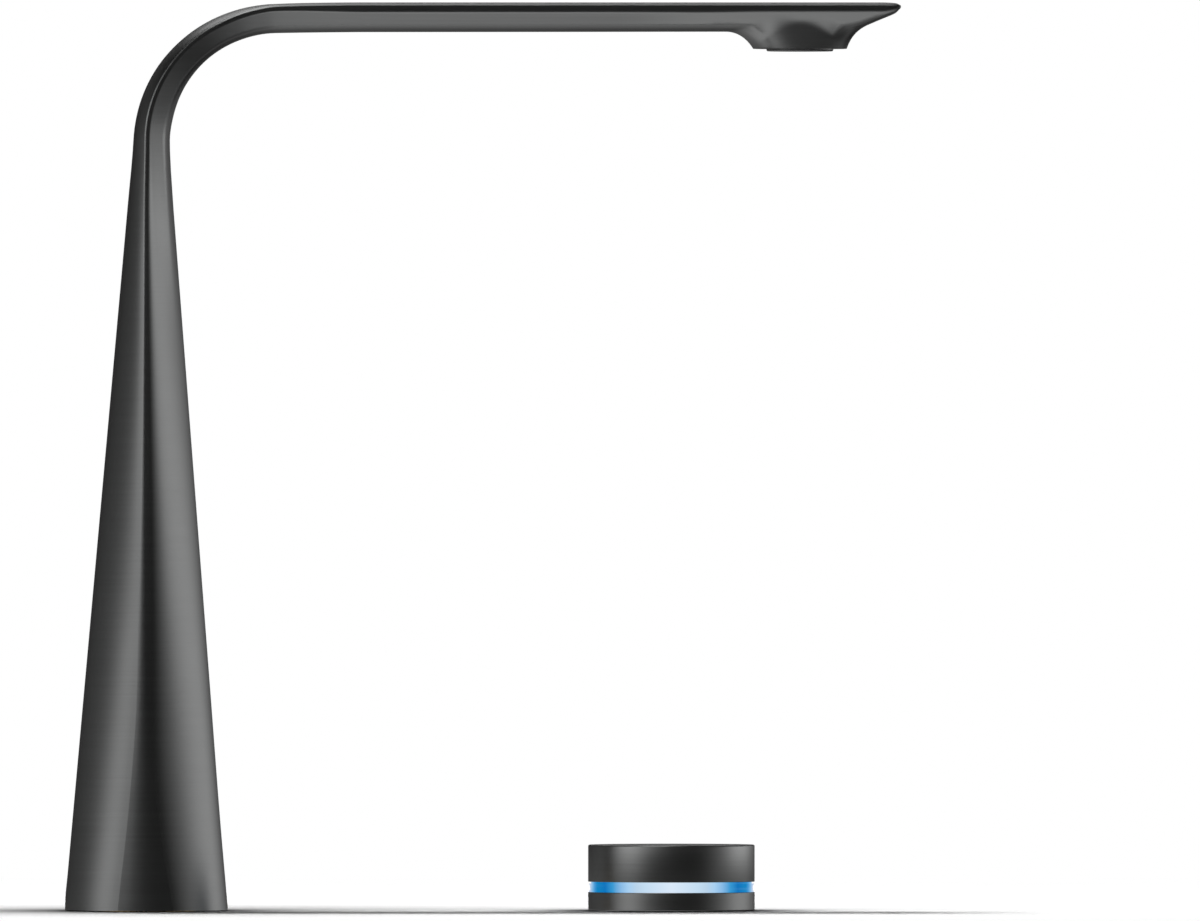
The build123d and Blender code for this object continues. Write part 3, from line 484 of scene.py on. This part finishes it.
# The flank: end of the edge's arc, and the points from the flat run below it to the nose
def flankCurve(front, half, edge, turn, wall, flank, nose, facet, corner, facetAngle):
    lean = math.radians(turn)
    down, inward = math.cos(lean), math.sin(lean)
    edgeEnd = (edge * inward, half - edge * (1 - down))
    start = (edgeEnd[0] + wall * down, edgeEnd[1] - wall * inward)
    reach = flank * (front - start[0])
    handle = (start[0] + reach * down, start[1] - reach * inward)
    count = spout["flankPoints"]
    soft = [bezier(start, handle, (front, nose * half), (front, 0.0), i / count)
            for i in range(count + 1)]
    if facet == 0:
        return edgeEnd, soft
    lean = math.radians(facetAngle)
    way = (math.cos(lean), -math.sin(lean))
    bend = (start[0] + corner * down, start[1] - corner * inward)
    turned = (bend[0] + corner * way[0], bend[1] + corner * way[1])
    run = max(0.0, spout["facetEnd"] * front - turned[0]) / way[0]
    last = (turned[0] + run * way[0], turned[1] + run * way[1])
    left = front - last[0]
    first = (last[0] + spout["facetHandle"] * left,
             last[1] + spout["facetHandle"] * left * way[1] / way[0])
    third = count // 3
    flat = [bezier(start, bend, bend, turned, i / third) for i in range(third)]
    flat += [tuple(turned[k] + (last[k] - turned[k]) * i / third for k in range(2))
             for i in range(third)]
    rest = count - 2 * third
    flat += [bezier(last, first, (front, nose * last[1]), (front, 0.0), i / rest)
             for i in range(rest + 1)]
    return edgeEnd, [tuple(s[k] + (f[k] - s[k]) * facet for k in range(2))
                     for s, f in zip(soft, flat)]


# The side of the beam and the head, by X
def headSide(x):
    return {
        "turn": tracks["turn"](spout["headPath"]),
        "wall": tracks["side"](x),
        "flank": tracks["flank"](spout["headPath"]),
        "nose": tracks["headNose"](x),
        "facet": 1.0,
        "corner": tracks["headCorner"](x),
        "facetAngle": tracks["headAngle"](x),
    }


# Height of the head's underside at a point of the plan
def underside(x, y):
    wide = tracks["widest"](x)
    points = flankCurve(wide - tracks["under"](x), tracks["across"](x), tracks["rim"](x),
                        **headSide(x))[1]
    y = abs(y)
    i = next((i for i in range(1, len(points)) if points[i][1] <= y), len(points) - 1)
    (a, b), (c, d) = points[i - 1], points[i]
    share = (b - y) / (b - d) if b > d else 0.0
    return wide - (a + (c - a) * min(1.0, max(0.0, share)))


# A whole section: at a height up the column, an angle round the bend or an X along the beam
def ringAt(kind, s):
    px, pz = spout["pivotX"], spout["pivotZ"]
    path = {
        "column": s,
        "bend": pz + s * spout["degreeLength"],
        "beam": spout["bendEnd"] + s - px,
    }[kind]
    shape = {key: tracks[key](path) for key in sectionKeys}
    ownTracks = kind == "beam" and s >= spout["beamFrom"]
    if ownTracks:
        top, under, wide = tracks["top"](s), tracks["under"](s), tracks["widest"](s)
        half = halfSection(top - wide, wide - under, tracks["across"](s), tracks["rim"](s),
                           **dict(shape, bevel=tracks["rimBevel"](s), **headSide(s)))
    else:
        wide = tracks["wide"](path)
        half = halfSection(tracks["outer"](path) - wide, wide - tracks["inner"](path),
                           tracks["half"](path), tracks["edge"](path), **shape)
    if kind == "beam":
        height = wide if ownTracks else wide + pz
        ring = [(s, b, height - a) for a, b in half]
    else:
        angle = 0.0 if kind == "column" else math.radians(s)
        baseZ = s if kind == "column" else pz
        ring = [(px - (wide - a) * math.cos(angle), b, baseZ + (wide - a) * math.sin(angle))
                for a, b in half]
    ring += [(x, -y, z) for x, y, z in reversed(ring[1:-1])]
    return ring


# Where the sections stand: heights up the column, degrees round the bend, X along the beam
standing = {
    "foot": (0, 1.4, 2.8, 4.0, 6.5, 9.67, 14, 19, 24),
    "columnStep": 5.3,
    "columnCount": 35,
    "bendStep": 2.5,
    "bendCount": 36,
    "afterBend": (37.5, 40, 43, 46, 50, 54.5, 59),
    "beamStep": 6.0,
    "beamCount": 15,
    "beforeHead": 152.5,
    "tip": (204.4, 205.4, 206.2, 206.8, 207.1, 207.3, 207.5, 207.7, 207.88, 208.03, 208.14, 208.22,
            208.28),
}
boss = {
    "centreX": 180.5,
    "mouthR": 13.0,
    "mouthZ": 237.9,
    "boreR": 9.35,
    "boreTop": 244.6,
    "rowY": 17.15,
    "firstX": 156.5,
    "lastX": 203.3,
    "stepX": 1.3,
    "outerRings": 6,
    "blendRings": 14,
    "wallRings": 3,
    # at the back, the side and the front: reach of the flare, angle of the wall above the mouth,
    # length of its straight part, and how long the blend keeps to each of its ends
    "reach": (7.6, 4.0, 6.5),
    "startAngle": (57.0, 71.5, 70.0),
    "rise": (0.3, 6.2, 0.3),
    "firstHandle": (2.9, 1.5, 4.0),
    "lastHandle": (3.4, 1.3, 3.0),
    # added halfway between the side and the back, and between the side and the front
    "reachCorner": (1.7, 1.3),
    "angleCorner": (-10.5, -8.0),
    "riseCorner": (-1.2, -1.5),
    "slopeStep": 0.15,
    "lip": 0.12,
    "lipTurn": 0.3,             # where the lip's round has its middle, as a share of the lip
}
headCount = round((boss["lastX"] - boss["firstX"]) / boss["stepX"])
stations = [("column", z) for z in standing["foot"]]
stations += [("column", standing["foot"][-1] + standing["columnStep"] * i)
             for i in range(1, standing["columnCount"] + 1)]
stations += [("bend", standing["bendStep"] * i) for i in range(standing["bendCount"] + 1)]
stations += [("beam", x) for x in standing["afterBend"]]
stations += [("beam", standing["afterBend"][-1] + standing["beamStep"] * i)
             for i in range(1, standing["beamCount"] + 1)]
stations += [("beam", standing["beforeHead"])]
stations += [("beam", boss["firstX"] + (boss["lastX"] - boss["firstX"]) * i / headCount)
             for i in range(headCount + 1)]
stations += [("beam", x) for x in standing["tip"]]

verts = []
faces = []


def addRing(points):
    start = len(verts)
    verts.extend(points)
    return list(range(start, start + len(points)))


# Faces between two rings, apart from the skipped ones
def skin(ringA, ringB, skipped=()):
    n = len(ringA)
    for i in range(n):
        if i not in skipped:
            j = (i + 1) % n
            faces.append((ringA[i], ringA[j], ringB[j], ringB[i]))


rings = [addRing(ringAt(kind, s)) for kind, s in stations]
firstFlank = spout["backPoints"] + spout["edgePoints"] + spout["wallPoints"]
noseRow = firstFlank + spout["flankPoints"]
firstHead = stations.index(("beam", boss["firstX"]))
lastHead = firstHead + headCount
middleRing = rings[(firstHead + lastHead) // 2]
firstRow = next(i for i in range(firstFlank + 1, noseRow)
                if verts[middleRing[i]][1] < boss["rowY"])
lastRow = 2 * noseRow - firstRow
gap = set(range(firstRow, lastRow))
for i in range(len(rings) - 1):
    skin(rings[i], rings[i + 1], gap if firstHead <= i < lastHead else ())
faces.append(tuple(reversed(rings[-1])))

# The outlet boss: rings run from the edge of the gap in the underside down to the round mouth
gapEdge = [rings[i][firstRow] for i in range(firstHead, lastHead)]
gapEdge += [rings[lastHead][j] for j in range(firstRow, lastRow)]
gapEdge += [rings[i][lastRow] for i in range(lastHead, firstHead, -1)]
gapEdge += [rings[firstHead][j] for j in range(lastRow, firstRow, -1)]


# A value for one direction, from the values at the back, the side and the front
def around3(values, cosine, corner=(0.0, 0.0)):
    back, side, front = values
    end = front if cosine > 0 else back
    extra = corner[1] if cosine > 0 else corner[0]
    share = cosine * cosine
    return side + (end - side) * share + extra * 4 * share * (1 - share)


# One ray of the boss: along the underside to the flare, down the blend and the wall to the mouth,
# and up the bore. It is drawn as (distance from the boss's axis, height).
def bossRay(x, y):
    far = math.hypot(x - boss["centreX"], y)
    ux, uy = (x - boss["centreX"]) / far, y / far

    def under(r):
        return underside(boss["centreX"] + ux * r, uy * r)

    near = boss["mouthR"] + around3(boss["reach"], ux, boss["reachCorner"])
    ray = []
    for k in range(1, boss["outerRings"] + 1):
        r = far + (near - far) * k / boss["outerRings"]
        ray.append((r, under(r)))
    flare = (near, ray[-1][1])
    slope = math.atan2(under(near + boss["slopeStep"]) - flare[1], boss["slopeStep"])
    last = around3(boss["lastHandle"], ux)
    first = around3(boss["firstHandle"], ux)
    start = math.radians(around3(boss["startAngle"], ux, boss["angleCorner"]))
    rise = around3(boss["rise"], ux, boss["riseCorner"])
    mouth = (boss["mouthR"], boss["mouthZ"] + boss["lip"])
    wallTop = (mouth[0] + rise * math.cos(start), mouth[1] + rise * math.sin(start))
    upper = (flare[0] - last * math.cos(slope), flare[1] - last * math.sin(slope))
    lower = (wallTop[0] + first * math.cos(start), wallTop[1] + first * math.sin(start))
    ray += [bezier(flare, upper, lower, wallTop, k / boss["blendRings"])
            for k in range(1, boss["blendRings"] + 1)]
    ray += [tuple(wallTop[i] + (mouth[i] - wallTop[i]) * k / boss["wallRings"] for i in range(2))
            for k in range(1, boss["wallRings"] + 1)]
    ray += [
        (boss["mouthR"] - boss["lipTurn"] * boss["lip"],
         boss["mouthZ"] + boss["lipTurn"] * boss["lip"]),
        (boss["mouthR"] - boss["lip"], boss["mouthZ"]),
        (0.5 * (boss["mouthR"] + boss["boreR"]), boss["mouthZ"]),
        (boss["boreR"], boss["mouthZ"]),
        (boss["boreR"], boss["boreTop"]),
    ]
    return [(boss["centreX"] + ux * r, uy * r, z) for r, z in ray]


previous = gapEdge
for points in zip(*[bossRay(*verts[index][:2]) for index in gapEdge]):
    ring = addRing(points)
    skin(previous, ring)
    previous = ring
faces.append(tuple(previous))

# The inside: seat of the threaded ring and the tapering cavity for the supply pipe
foot = {
    "seatR": 19.0,
    "seatTop": 10.0,
    "cavityR": 18.0,
    "cavityTop": 150.0,
    "topX": 6.2,
    "topY": 11.0,
    "pipeX": 1.6,
    "portR": 6.0,
    "portTop": 166.0,
}


def roundRing(ring, radiusX, radiusY, z, x=0.0):
    points = []
    for index in ring:
        angle = math.atan2(verts[index][1], verts[index][0])
        points.append((x + radiusX * math.cos(angle), radiusY * math.sin(angle), z))
    return points


inside = [
    (foot["seatR"], foot["seatR"], 0.0, 0.0),
    (foot["seatR"], foot["seatR"], foot["seatTop"], 0.0),
    (foot["cavityR"], foot["cavityR"], foot["seatTop"], 0.0),
    (foot["topX"], foot["topY"], foot["cavityTop"], foot["pipeX"]),
    (foot["portR"], foot["portR"], foot["cavityTop"], foot["pipeX"]),
    (foot["portR"], foot["portR"], foot["portTop"], foot["pipeX"]),
]
previous = rings[0]
for radiusX, radiusY, z, x in inside:
    ring = addRing(roundRing(rings[0], radiusX, radiusY, z, x))
    skin(ring, previous)
    previous = ring
faces.append(tuple(previous))

skinMesh = bpy.data.meshes.new("spoutSkin")
skinMesh.from_pydata([tuple(c * mm for c in v) for v in verts], [], faces)
spoutSkin = bpy.data.objects.new("spoutSkin", skinMesh)
bpy.context.scene.collection.objects.link(spoutSkin)
pick(spoutSkin)
bpy.ops.object.mode_set(mode="EDIT")
bpy.ops.mesh.select_all(action="SELECT")
bpy.ops.mesh.normals_make_consistent(inside=False)
bpy.ops.object.mode_set(mode="OBJECT")
bpy.ops.object.shade_smooth_by_angle(angle=shadeAngle)
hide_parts("spout_body")
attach(spoutSkin, "tap")
print("spout:", len(verts), "points and", len(faces), "faces")

noise = {
    "fine": {"Detail": 3.0, "Roughness": 0.6},
    "wide": {"Detail": 2.0},
    "wideScale": 60.0,
}


# Dark satin metal: very fine level brush lines, as the casting and the dial have. On a turned piece
# they run round its axis. A face that looks up or down, past flatFrom, has them laid out in plan.
def brushedMetal(name, brush):
    material, g = newMaterial(name)
    place = g.node("ShaderNodeTexCoord", None, None, "Object")
    facing = g.node("ShaderNodeNewGeometry", None, None, "Normal")
    upright = g.node("ShaderNodeSeparateXYZ", None, {0: facing}, "Z")
    flat = g.node("ShaderNodeMapRange", {"interpolation_type": "SMOOTHSTEP"},
                  {"Value": abs(upright),
                   "From Min": brush["flatFrom"], "From Max": brush["flatTo"]})
    if brush["turned"]:
        moved = g.node("ShaderNodeVectorMath", {"operation": "SUBTRACT"},
                       {0: place, 1: (brush["axisX"], 0.0, 0.0)})
        x, y, z = [g.node("ShaderNodeSeparateXYZ", None, {0: moved}, axis) for axis in "XYZ"]
        radius = (x * x + y * y) ** 0.5
        onTop = g.node("ShaderNodeCombineXYZ", None,
                       {0: radius * brush["fine"], 1: x * brush["long"], 2: y * brush["long"]})
        onSide = g.node("ShaderNodeCombineXYZ", None,
                        {0: z * brush["fine"], 1: x * brush["long"], 2: y * brush["long"]})
    else:
        onTop = g.node("ShaderNodeMapping", None,
                       {"Vector": place, "Scale": (brush["long"], brush["fine"], brush["long"])})
        onSide = g.node("ShaderNodeMapping", None,
                        {"Vector": place, "Scale": (brush["long"], brush["long"], brush["fine"])})
    lines = g.node("ShaderNodeMix", {"data_type": "VECTOR"},
                   {"Factor": flat, 4: onSide, 5: onTop}, 1)
    fineNoise = g.node("ShaderNodeTexNoise", None, {"Vector": lines, "Scale": 1.0, **noise["fine"]})
    cloudy = g.node("ShaderNodeTexNoise", None,
                    {"Vector": place, "Scale": brush["cloudScale"], **noise["wide"]})
    tone = 1.0 + (fineNoise - 0.5) * brush["toneLines"] + (cloudy - 0.5) * brush["toneClouds"]
    level = tone * brush["colour"]
    colour = g.node("ShaderNodeCombineColor", None,
                    {i: level * share for i, share in enumerate(brush["tint"])})
    rougher = (fineNoise - 0.5) * brush["roughLines"]
    roughness = brush["roughness"] + rougher + (cloudy - 0.5) * brush["roughClouds"]
    bump = g.node("ShaderNodeBump", None,
                  {"Height": fineNoise, "Strength": brush["bump"], "Distance": bumpDistance})
    finishSurface(g, {"Base Color": colour, "Metallic": 1.0, "Roughness": roughness,
                      "Normal": bump})
    return material


gunmetal = {
    "turned": False,
    "fine": 1500.0,
    "long": 30.0,
    "flatFrom": 0.75,
    "flatTo": 0.95,
    "cloudScale": 22.0,
    "colour": 0.15,
    "tint": (0.985, 1.0, 0.995),
    "toneLines": 0.22,
    "toneClouds": 0.05,
    "roughness": 0.33,
    "roughLines": 0.08,
    "roughClouds": 0.03,
    "bump": 0.12,
}
spoutMetal = brushedMetal("spoutGunmetal", gunmetal)
dialMetal = brushedMetal("dialGunmetal",
                         dict(gunmetal, turned=True, axisX=dialX * mm, colour=0.185))
paint(spoutSkin, spoutMetal)


# Plain moulded, machined and rubber finishes, each with its own fine unevenness
def plainFinish(name, look):
    material, g = newMaterial(name)
    place = g.node("ShaderNodeTexCoord", None, None, "Object")
    grain = g.node("ShaderNodeTexNoise", None,
                   {"Vector": place, "Scale": look["grain"], **noise["fine"]})
    wide = g.node("ShaderNodeTexNoise", None,
                  {"Vector": place, "Scale": noise["wideScale"], **noise["wide"]})
    tone = 1.0 + (grain - 0.5) * look["toneGrain"] + (wide - 0.5) * look["toneWide"]
    colour = g.node("ShaderNodeCombineColor", None,
                    {i: tone * share for i, share in enumerate(look["colour"])})
    roughness = look["roughness"] + (grain - 0.5) * look["roughGrain"]
    bump = g.node("ShaderNodeBump", None,
                  {"Height": grain, "Strength": look["bump"], "Distance": bumpDistance})
    finishSurface(g, {"Base Color": colour, "Metallic": look["metal"], "Roughness": roughness,
                      "Normal": bump})
    return material


looks = {
    "brass": dict(colour=(0.72, 0.52, 0.24), metal=1.0, roughness=0.28, grain=900.0, toneGrain=0.1,
                  toneWide=0.08, roughGrain=0.12, bump=0.08),
    "copper_pipe": dict(colour=(0.78, 0.42, 0.27), metal=1.0, roughness=0.25, grain=500.0,
                        toneGrain=0.1, toneWide=0.15, roughGrain=0.12, bump=0.05),
    "plated_brass": dict(colour=(0.62, 0.61, 0.58), metal=1.0, roughness=0.22, grain=700.0,
                         toneGrain=0.06, toneWide=0.05, roughGrain=0.1, bump=0.05),
    "steel": dict(colour=(0.55, 0.55, 0.56), metal=1.0, roughness=0.32, grain=1100.0, toneGrain=0.1,
                  toneWide=0.06, roughGrain=0.12, bump=0.08),
    "black_rubber": dict(colour=(0.022, 0.022, 0.023), metal=0.0, roughness=0.62, grain=1600.0,
                         toneGrain=0.3, toneWide=0.15, roughGrain=0.15, bump=0.2),
    "bright_housing": dict(colour=(0.03, 0.03, 0.031), metal=0.0, roughness=0.3, grain=600.0,
                           toneGrain=0.03, toneWide=0.03, roughGrain=0.05, bump=0.02),
    "black_plastic": dict(colour=(0.03, 0.03, 0.032), metal=0.0, roughness=0.45, grain=1400.0,
                          toneGrain=0.2, toneWide=0.1, roughGrain=0.12, bump=0.12),
    "white_plastic": dict(colour=(0.78, 0.78, 0.76), metal=0.0, roughness=0.42, grain=1200.0,
                          toneGrain=0.04, toneWide=0.03, roughGrain=0.1, bump=0.08),
    "board_green": dict(colour=(0.035, 0.17, 0.085), metal=0.0, roughness=0.3, grain=2200.0,
                        toneGrain=0.25, toneWide=0.1, roughGrain=0.1, bump=0.1),
    "lamp_white": dict(colour=(0.85, 0.87, 0.88), metal=0.0, roughness=0.25, grain=1500.0,
                       toneGrain=0.04, toneWide=0.02, roughGrain=0.08, bump=0.04),
    "magnet": dict(colour=(0.2, 0.2, 0.21), metal=1.0, roughness=0.35, grain=1300.0, toneGrain=0.15,
                   toneWide=0.1, roughGrain=0.15, bump=0.1),
}
finishes = {name: plainFinish(name, look) for name, look in looks.items()}

# Glowing ring: its own blue glow, with painted light on it: saturated blue towards its sides, pale
# over its middle and whitish at its very ends, set by the distance from the dial's axis along X as
# it looks from the front
glow = {
    "axisX": dialX * mm,
    "radius": 0.02285,
    "strength": 1.0,
    "colour": (0.008, 0.014, 0.02, 1.0),
    "roughness": 0.22,
    "roughClouds": 0.08,
    "cloudScale": 260.0,
    "ior": 1.49,
    "specular": 0.04,
    # share of the way from the middle to an end, and the colour there
    "stops": [
        (0.0, (0.70, 0.81, 0.94)), (0.32, (0.55, 0.72, 0.88)), (0.42, (0.49, 0.655, 0.82)),
        (0.52, (0.385, 0.62, 0.87)), (0.61, (0.245, 0.49, 0.785)), (0.71, (0.036, 0.312, 0.645)),
        (0.80, (0.001, 0.17, 0.50)), (0.90, (0.001, 0.225, 0.535)), (0.926, (0.045, 0.288, 0.645)),
        (0.95, (0.17, 0.45, 0.73)), (0.975, (0.43, 0.57, 0.79)), (1.0, (0.60, 0.68, 0.78)),
    ],
}
lightMaterial, g = newMaterial("glowingRing")
place = g.node("ShaderNodeTexCoord", None, None, "Object")
# painted light: the emission colour follows X alone, so the pale middle and whitish ends stay where
# the front view shows them
paintedGlowX = g.node("ShaderNodeSeparateXYZ", None, {0: place}, "X")
share = abs(paintedGlowX - glow["axisX"]) / glow["radius"]
tint = g.node("ShaderNodeValToRGB",
              {"stops": [(p, (*c, 1.0)) for p, c in glow["stops"]]}, {"Fac": share})
cloud = g.node("ShaderNodeTexNoise", None,
               {"Vector": place, "Scale": glow["cloudScale"], **noise["wide"]})
finishSurface(g, {
    "Base Color": glow["colour"], "Roughness": glow["roughness"] + cloud * glow["roughClouds"],
    "Emission Color": tint, "Emission Strength": glow["strength"],
    "IOR": glow["ior"], "Specular IOR Level": glow["specular"],
})
slotLooks = dict(finishes, dark_metal=dialMetal, light_clear=lightMaterial)

turning = {
    "weldGap": 0.000004,
    "softSegments": 3,
    "softAngle": 30,            # corners sharper than this are softened
}


# A turned piece: a circle drawn out from point to point of its profile, with its corners softened.
# The profile is (radius, height) in mm; it closes on itself, or its two ends get a flat face.
def turnedPiece(name, shape):
    clearSelection()
    radius, height = shape["profile"][0]
    bpy.ops.mesh.primitive_circle_add(vertices=shape["segments"], radius=radius * mm,
                                      fill_type="NOTHING",
                                      location=(shape["axisX"] * mm, 0, height * mm))
    piece = bpy.context.active_object
    piece.name = name
    bpy.ops.object.transform_apply(location=True, rotation=True, scale=True)
    bpy.ops.object.mode_set(mode="EDIT")
    bpy.ops.mesh.select_all(action="SELECT")
    if shape["filled"]:
        bpy.ops.mesh.edge_face_add()
        bpy.ops.mesh.inset(thickness=shape["inset"] * mm)
        bpy.ops.mesh.select_all(action="DESELECT")
        bpy.ops.mesh.select_non_manifold()
    closing = [] if shape["filled"] else shape["profile"][:1]
    for nextRadius, nextHeight in shape["profile"][1:] + closing:
        bpy.ops.mesh.extrude_region_move(
            TRANSFORM_OT_translate={"value": (0, 0, (nextHeight - height) * mm)})
        share = nextRadius / radius
        bpy.ops.transform.resize(value=(share, share, 1),
                                 center_override=(shape["axisX"] * mm, 0, nextHeight * mm))
        radius, height = nextRadius, nextHeight
    if shape["filled"]:
        bpy.ops.mesh.edge_face_add()
        bpy.ops.mesh.inset(thickness=shape["inset"] * mm)
    bpy.ops.mesh.select_all(action="SELECT")
    bpy.ops.mesh.remove_doubles(threshold=turning["weldGap"])
    bpy.ops.mesh.normals_make_consistent(inside=False)
    bpy.ops.object.mode_set(mode="OBJECT")
    soft = piece.modifiers.new("soft", "BEVEL")
    soft.width = shape["soft"] * mm
    soft.segments = turning["softSegments"]
    soft.limit_method = "ANGLE"
    soft.angle_limit = math.radians(turning["softAngle"])
    bpy.ops.object.modifier_apply(modifier="soft")
    bpy.ops.object.shade_smooth_by_angle(angle=shadeAngle)
    return piece


def arcPoints(centre, radius, first, last, count):
    angles = [math.radians(first + (last - first) * i / count) for i in range(count + 1)]
    return [(centre[0] + radius * math.cos(a), centre[1] + radius * math.sin(a)) for a in angles]


cap = {
    "axisX": dialX, "segments": 160, "filled": True, "inset": 4.0, "soft": 0.12,
    "profile": [(20.9, 16.07), (20.9, 9.35), (22.4, 9.35), (22.4, 7.85), (23.0, 7.85)]
    + arcPoints((22.55, 17.62), 0.45, 0, 90, 6),
}
band = {
    "axisX": dialX, "segments": 160, "filled": False, "soft": 0.08,
    "profile": [(19.5, 4.6), (20.55, 4.6), (20.55, 5.0), (22.85, 5.0), (22.6, 5.4), (22.47, 5.85),
                (22.45, 6.15), (22.47, 6.45), (22.6, 6.9), (22.85, 7.3), (22.2, 7.3), (22.2, 8.6),
                (20.5, 8.6), (20.5, 9.6), (19.5, 9.6)],
}
outletRing = {
    "axisX": boss["centreX"], "segments": 96, "filled": False, "soft": 0.1,
    "profile": [(8.3, 243.8), (9.25, 243.8), (9.25, 237.5), (8.95, 237.2), (7.75, 237.2),
                (7.6, 237.35), (7.6, 238.0), (8.3, 238.0)],
}
for name, shape, node, body, slotName in (
    ("capShell", cap, "dial_cap", "cap", "dark_metal"),
    ("glowBand", band, "light_ring", "tap", "light_clear"),
    ("outletRing", outletRing, "aerator_housing", "tap", "bright_housing"),
):
    piece = turnedPiece(name, shape)
    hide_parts(node)
    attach(piece, body)
    paint(piece, slotLooks[slotName])
print("turned: the cap, the glowing band and the outlet ring")

# The return spring, wound from a small circle; the real one shortens when the dial is pressed, this
# one keeps its wound length
spring = {
    "axisX": dialX,
    "radius": 9.15,
    "wire": 0.25,
    "turns": 3.5,
    "steps": 112,
    "round": 10,
    "travel": 0.52,             # the press, and a little air
    "shadeAngle": 50,
}
low, high = (corner.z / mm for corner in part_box("return_spring"))
clearSelection()
bpy.ops.mesh.primitive_circle_add(vertices=spring["round"], radius=spring["wire"] * mm,
                                  fill_type="NOTHING", location=(spring["axisX"] * mm, 0, 0),
                                  rotation=(math.radians(90), 0, 0))
coil = bpy.context.active_object
coil.name = "returnSpring"
bpy.ops.object.transform_apply(location=False, rotation=True, scale=False)
bpy.ops.object.mode_set(mode="EDIT")
bpy.ops.mesh.select_all(action="SELECT")
bpy.ops.transform.translate(value=(spring["radius"] * mm, 0, (low + spring["wire"]) * mm))
bpy.ops.object.mode_set(mode="OBJECT")
winding = coil.modifiers.new("winding", "SCREW")
winding.axis = "Z"
winding.angle = spring["turns"] * 2 * math.pi
winding.screw_offset = (high - low - 2 * spring["wire"]) * mm
winding.steps = spring["steps"]
winding.render_steps = spring["steps"]
bpy.ops.object.modifier_apply(modifier="winding")
bpy.ops.object.transform_apply(location=True, rotation=True, scale=True)
bpy.ops.object.mode_set(mode="EDIT")
bpy.ops.mesh.select_all(action="SELECT")
bpy.ops.mesh.fill_holes(sides=0)
bpy.ops.mesh.select_all(action="SELECT")
bpy.ops.mesh.normals_make_consistent(inside=False)
bpy.ops.object.mode_set(mode="OBJECT")
bpy.ops.object.shade_smooth_by_angle(angle=math.radians(spring["shadeAngle"]))
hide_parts("return_spring")
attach(coil, "tap")
paint(coil, slotLooks["steel"])
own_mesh(coil)
print("spring: wound,", len(coil.data.vertices), "points")

slotOf = {s["node"]: s["material_slot"] for s in frame["record"]["subparts"]}
for name, piece in frame["nodes"].items():
    paint(piece, slotLooks[slotOf[name]])
print("finishes: every node has its material")
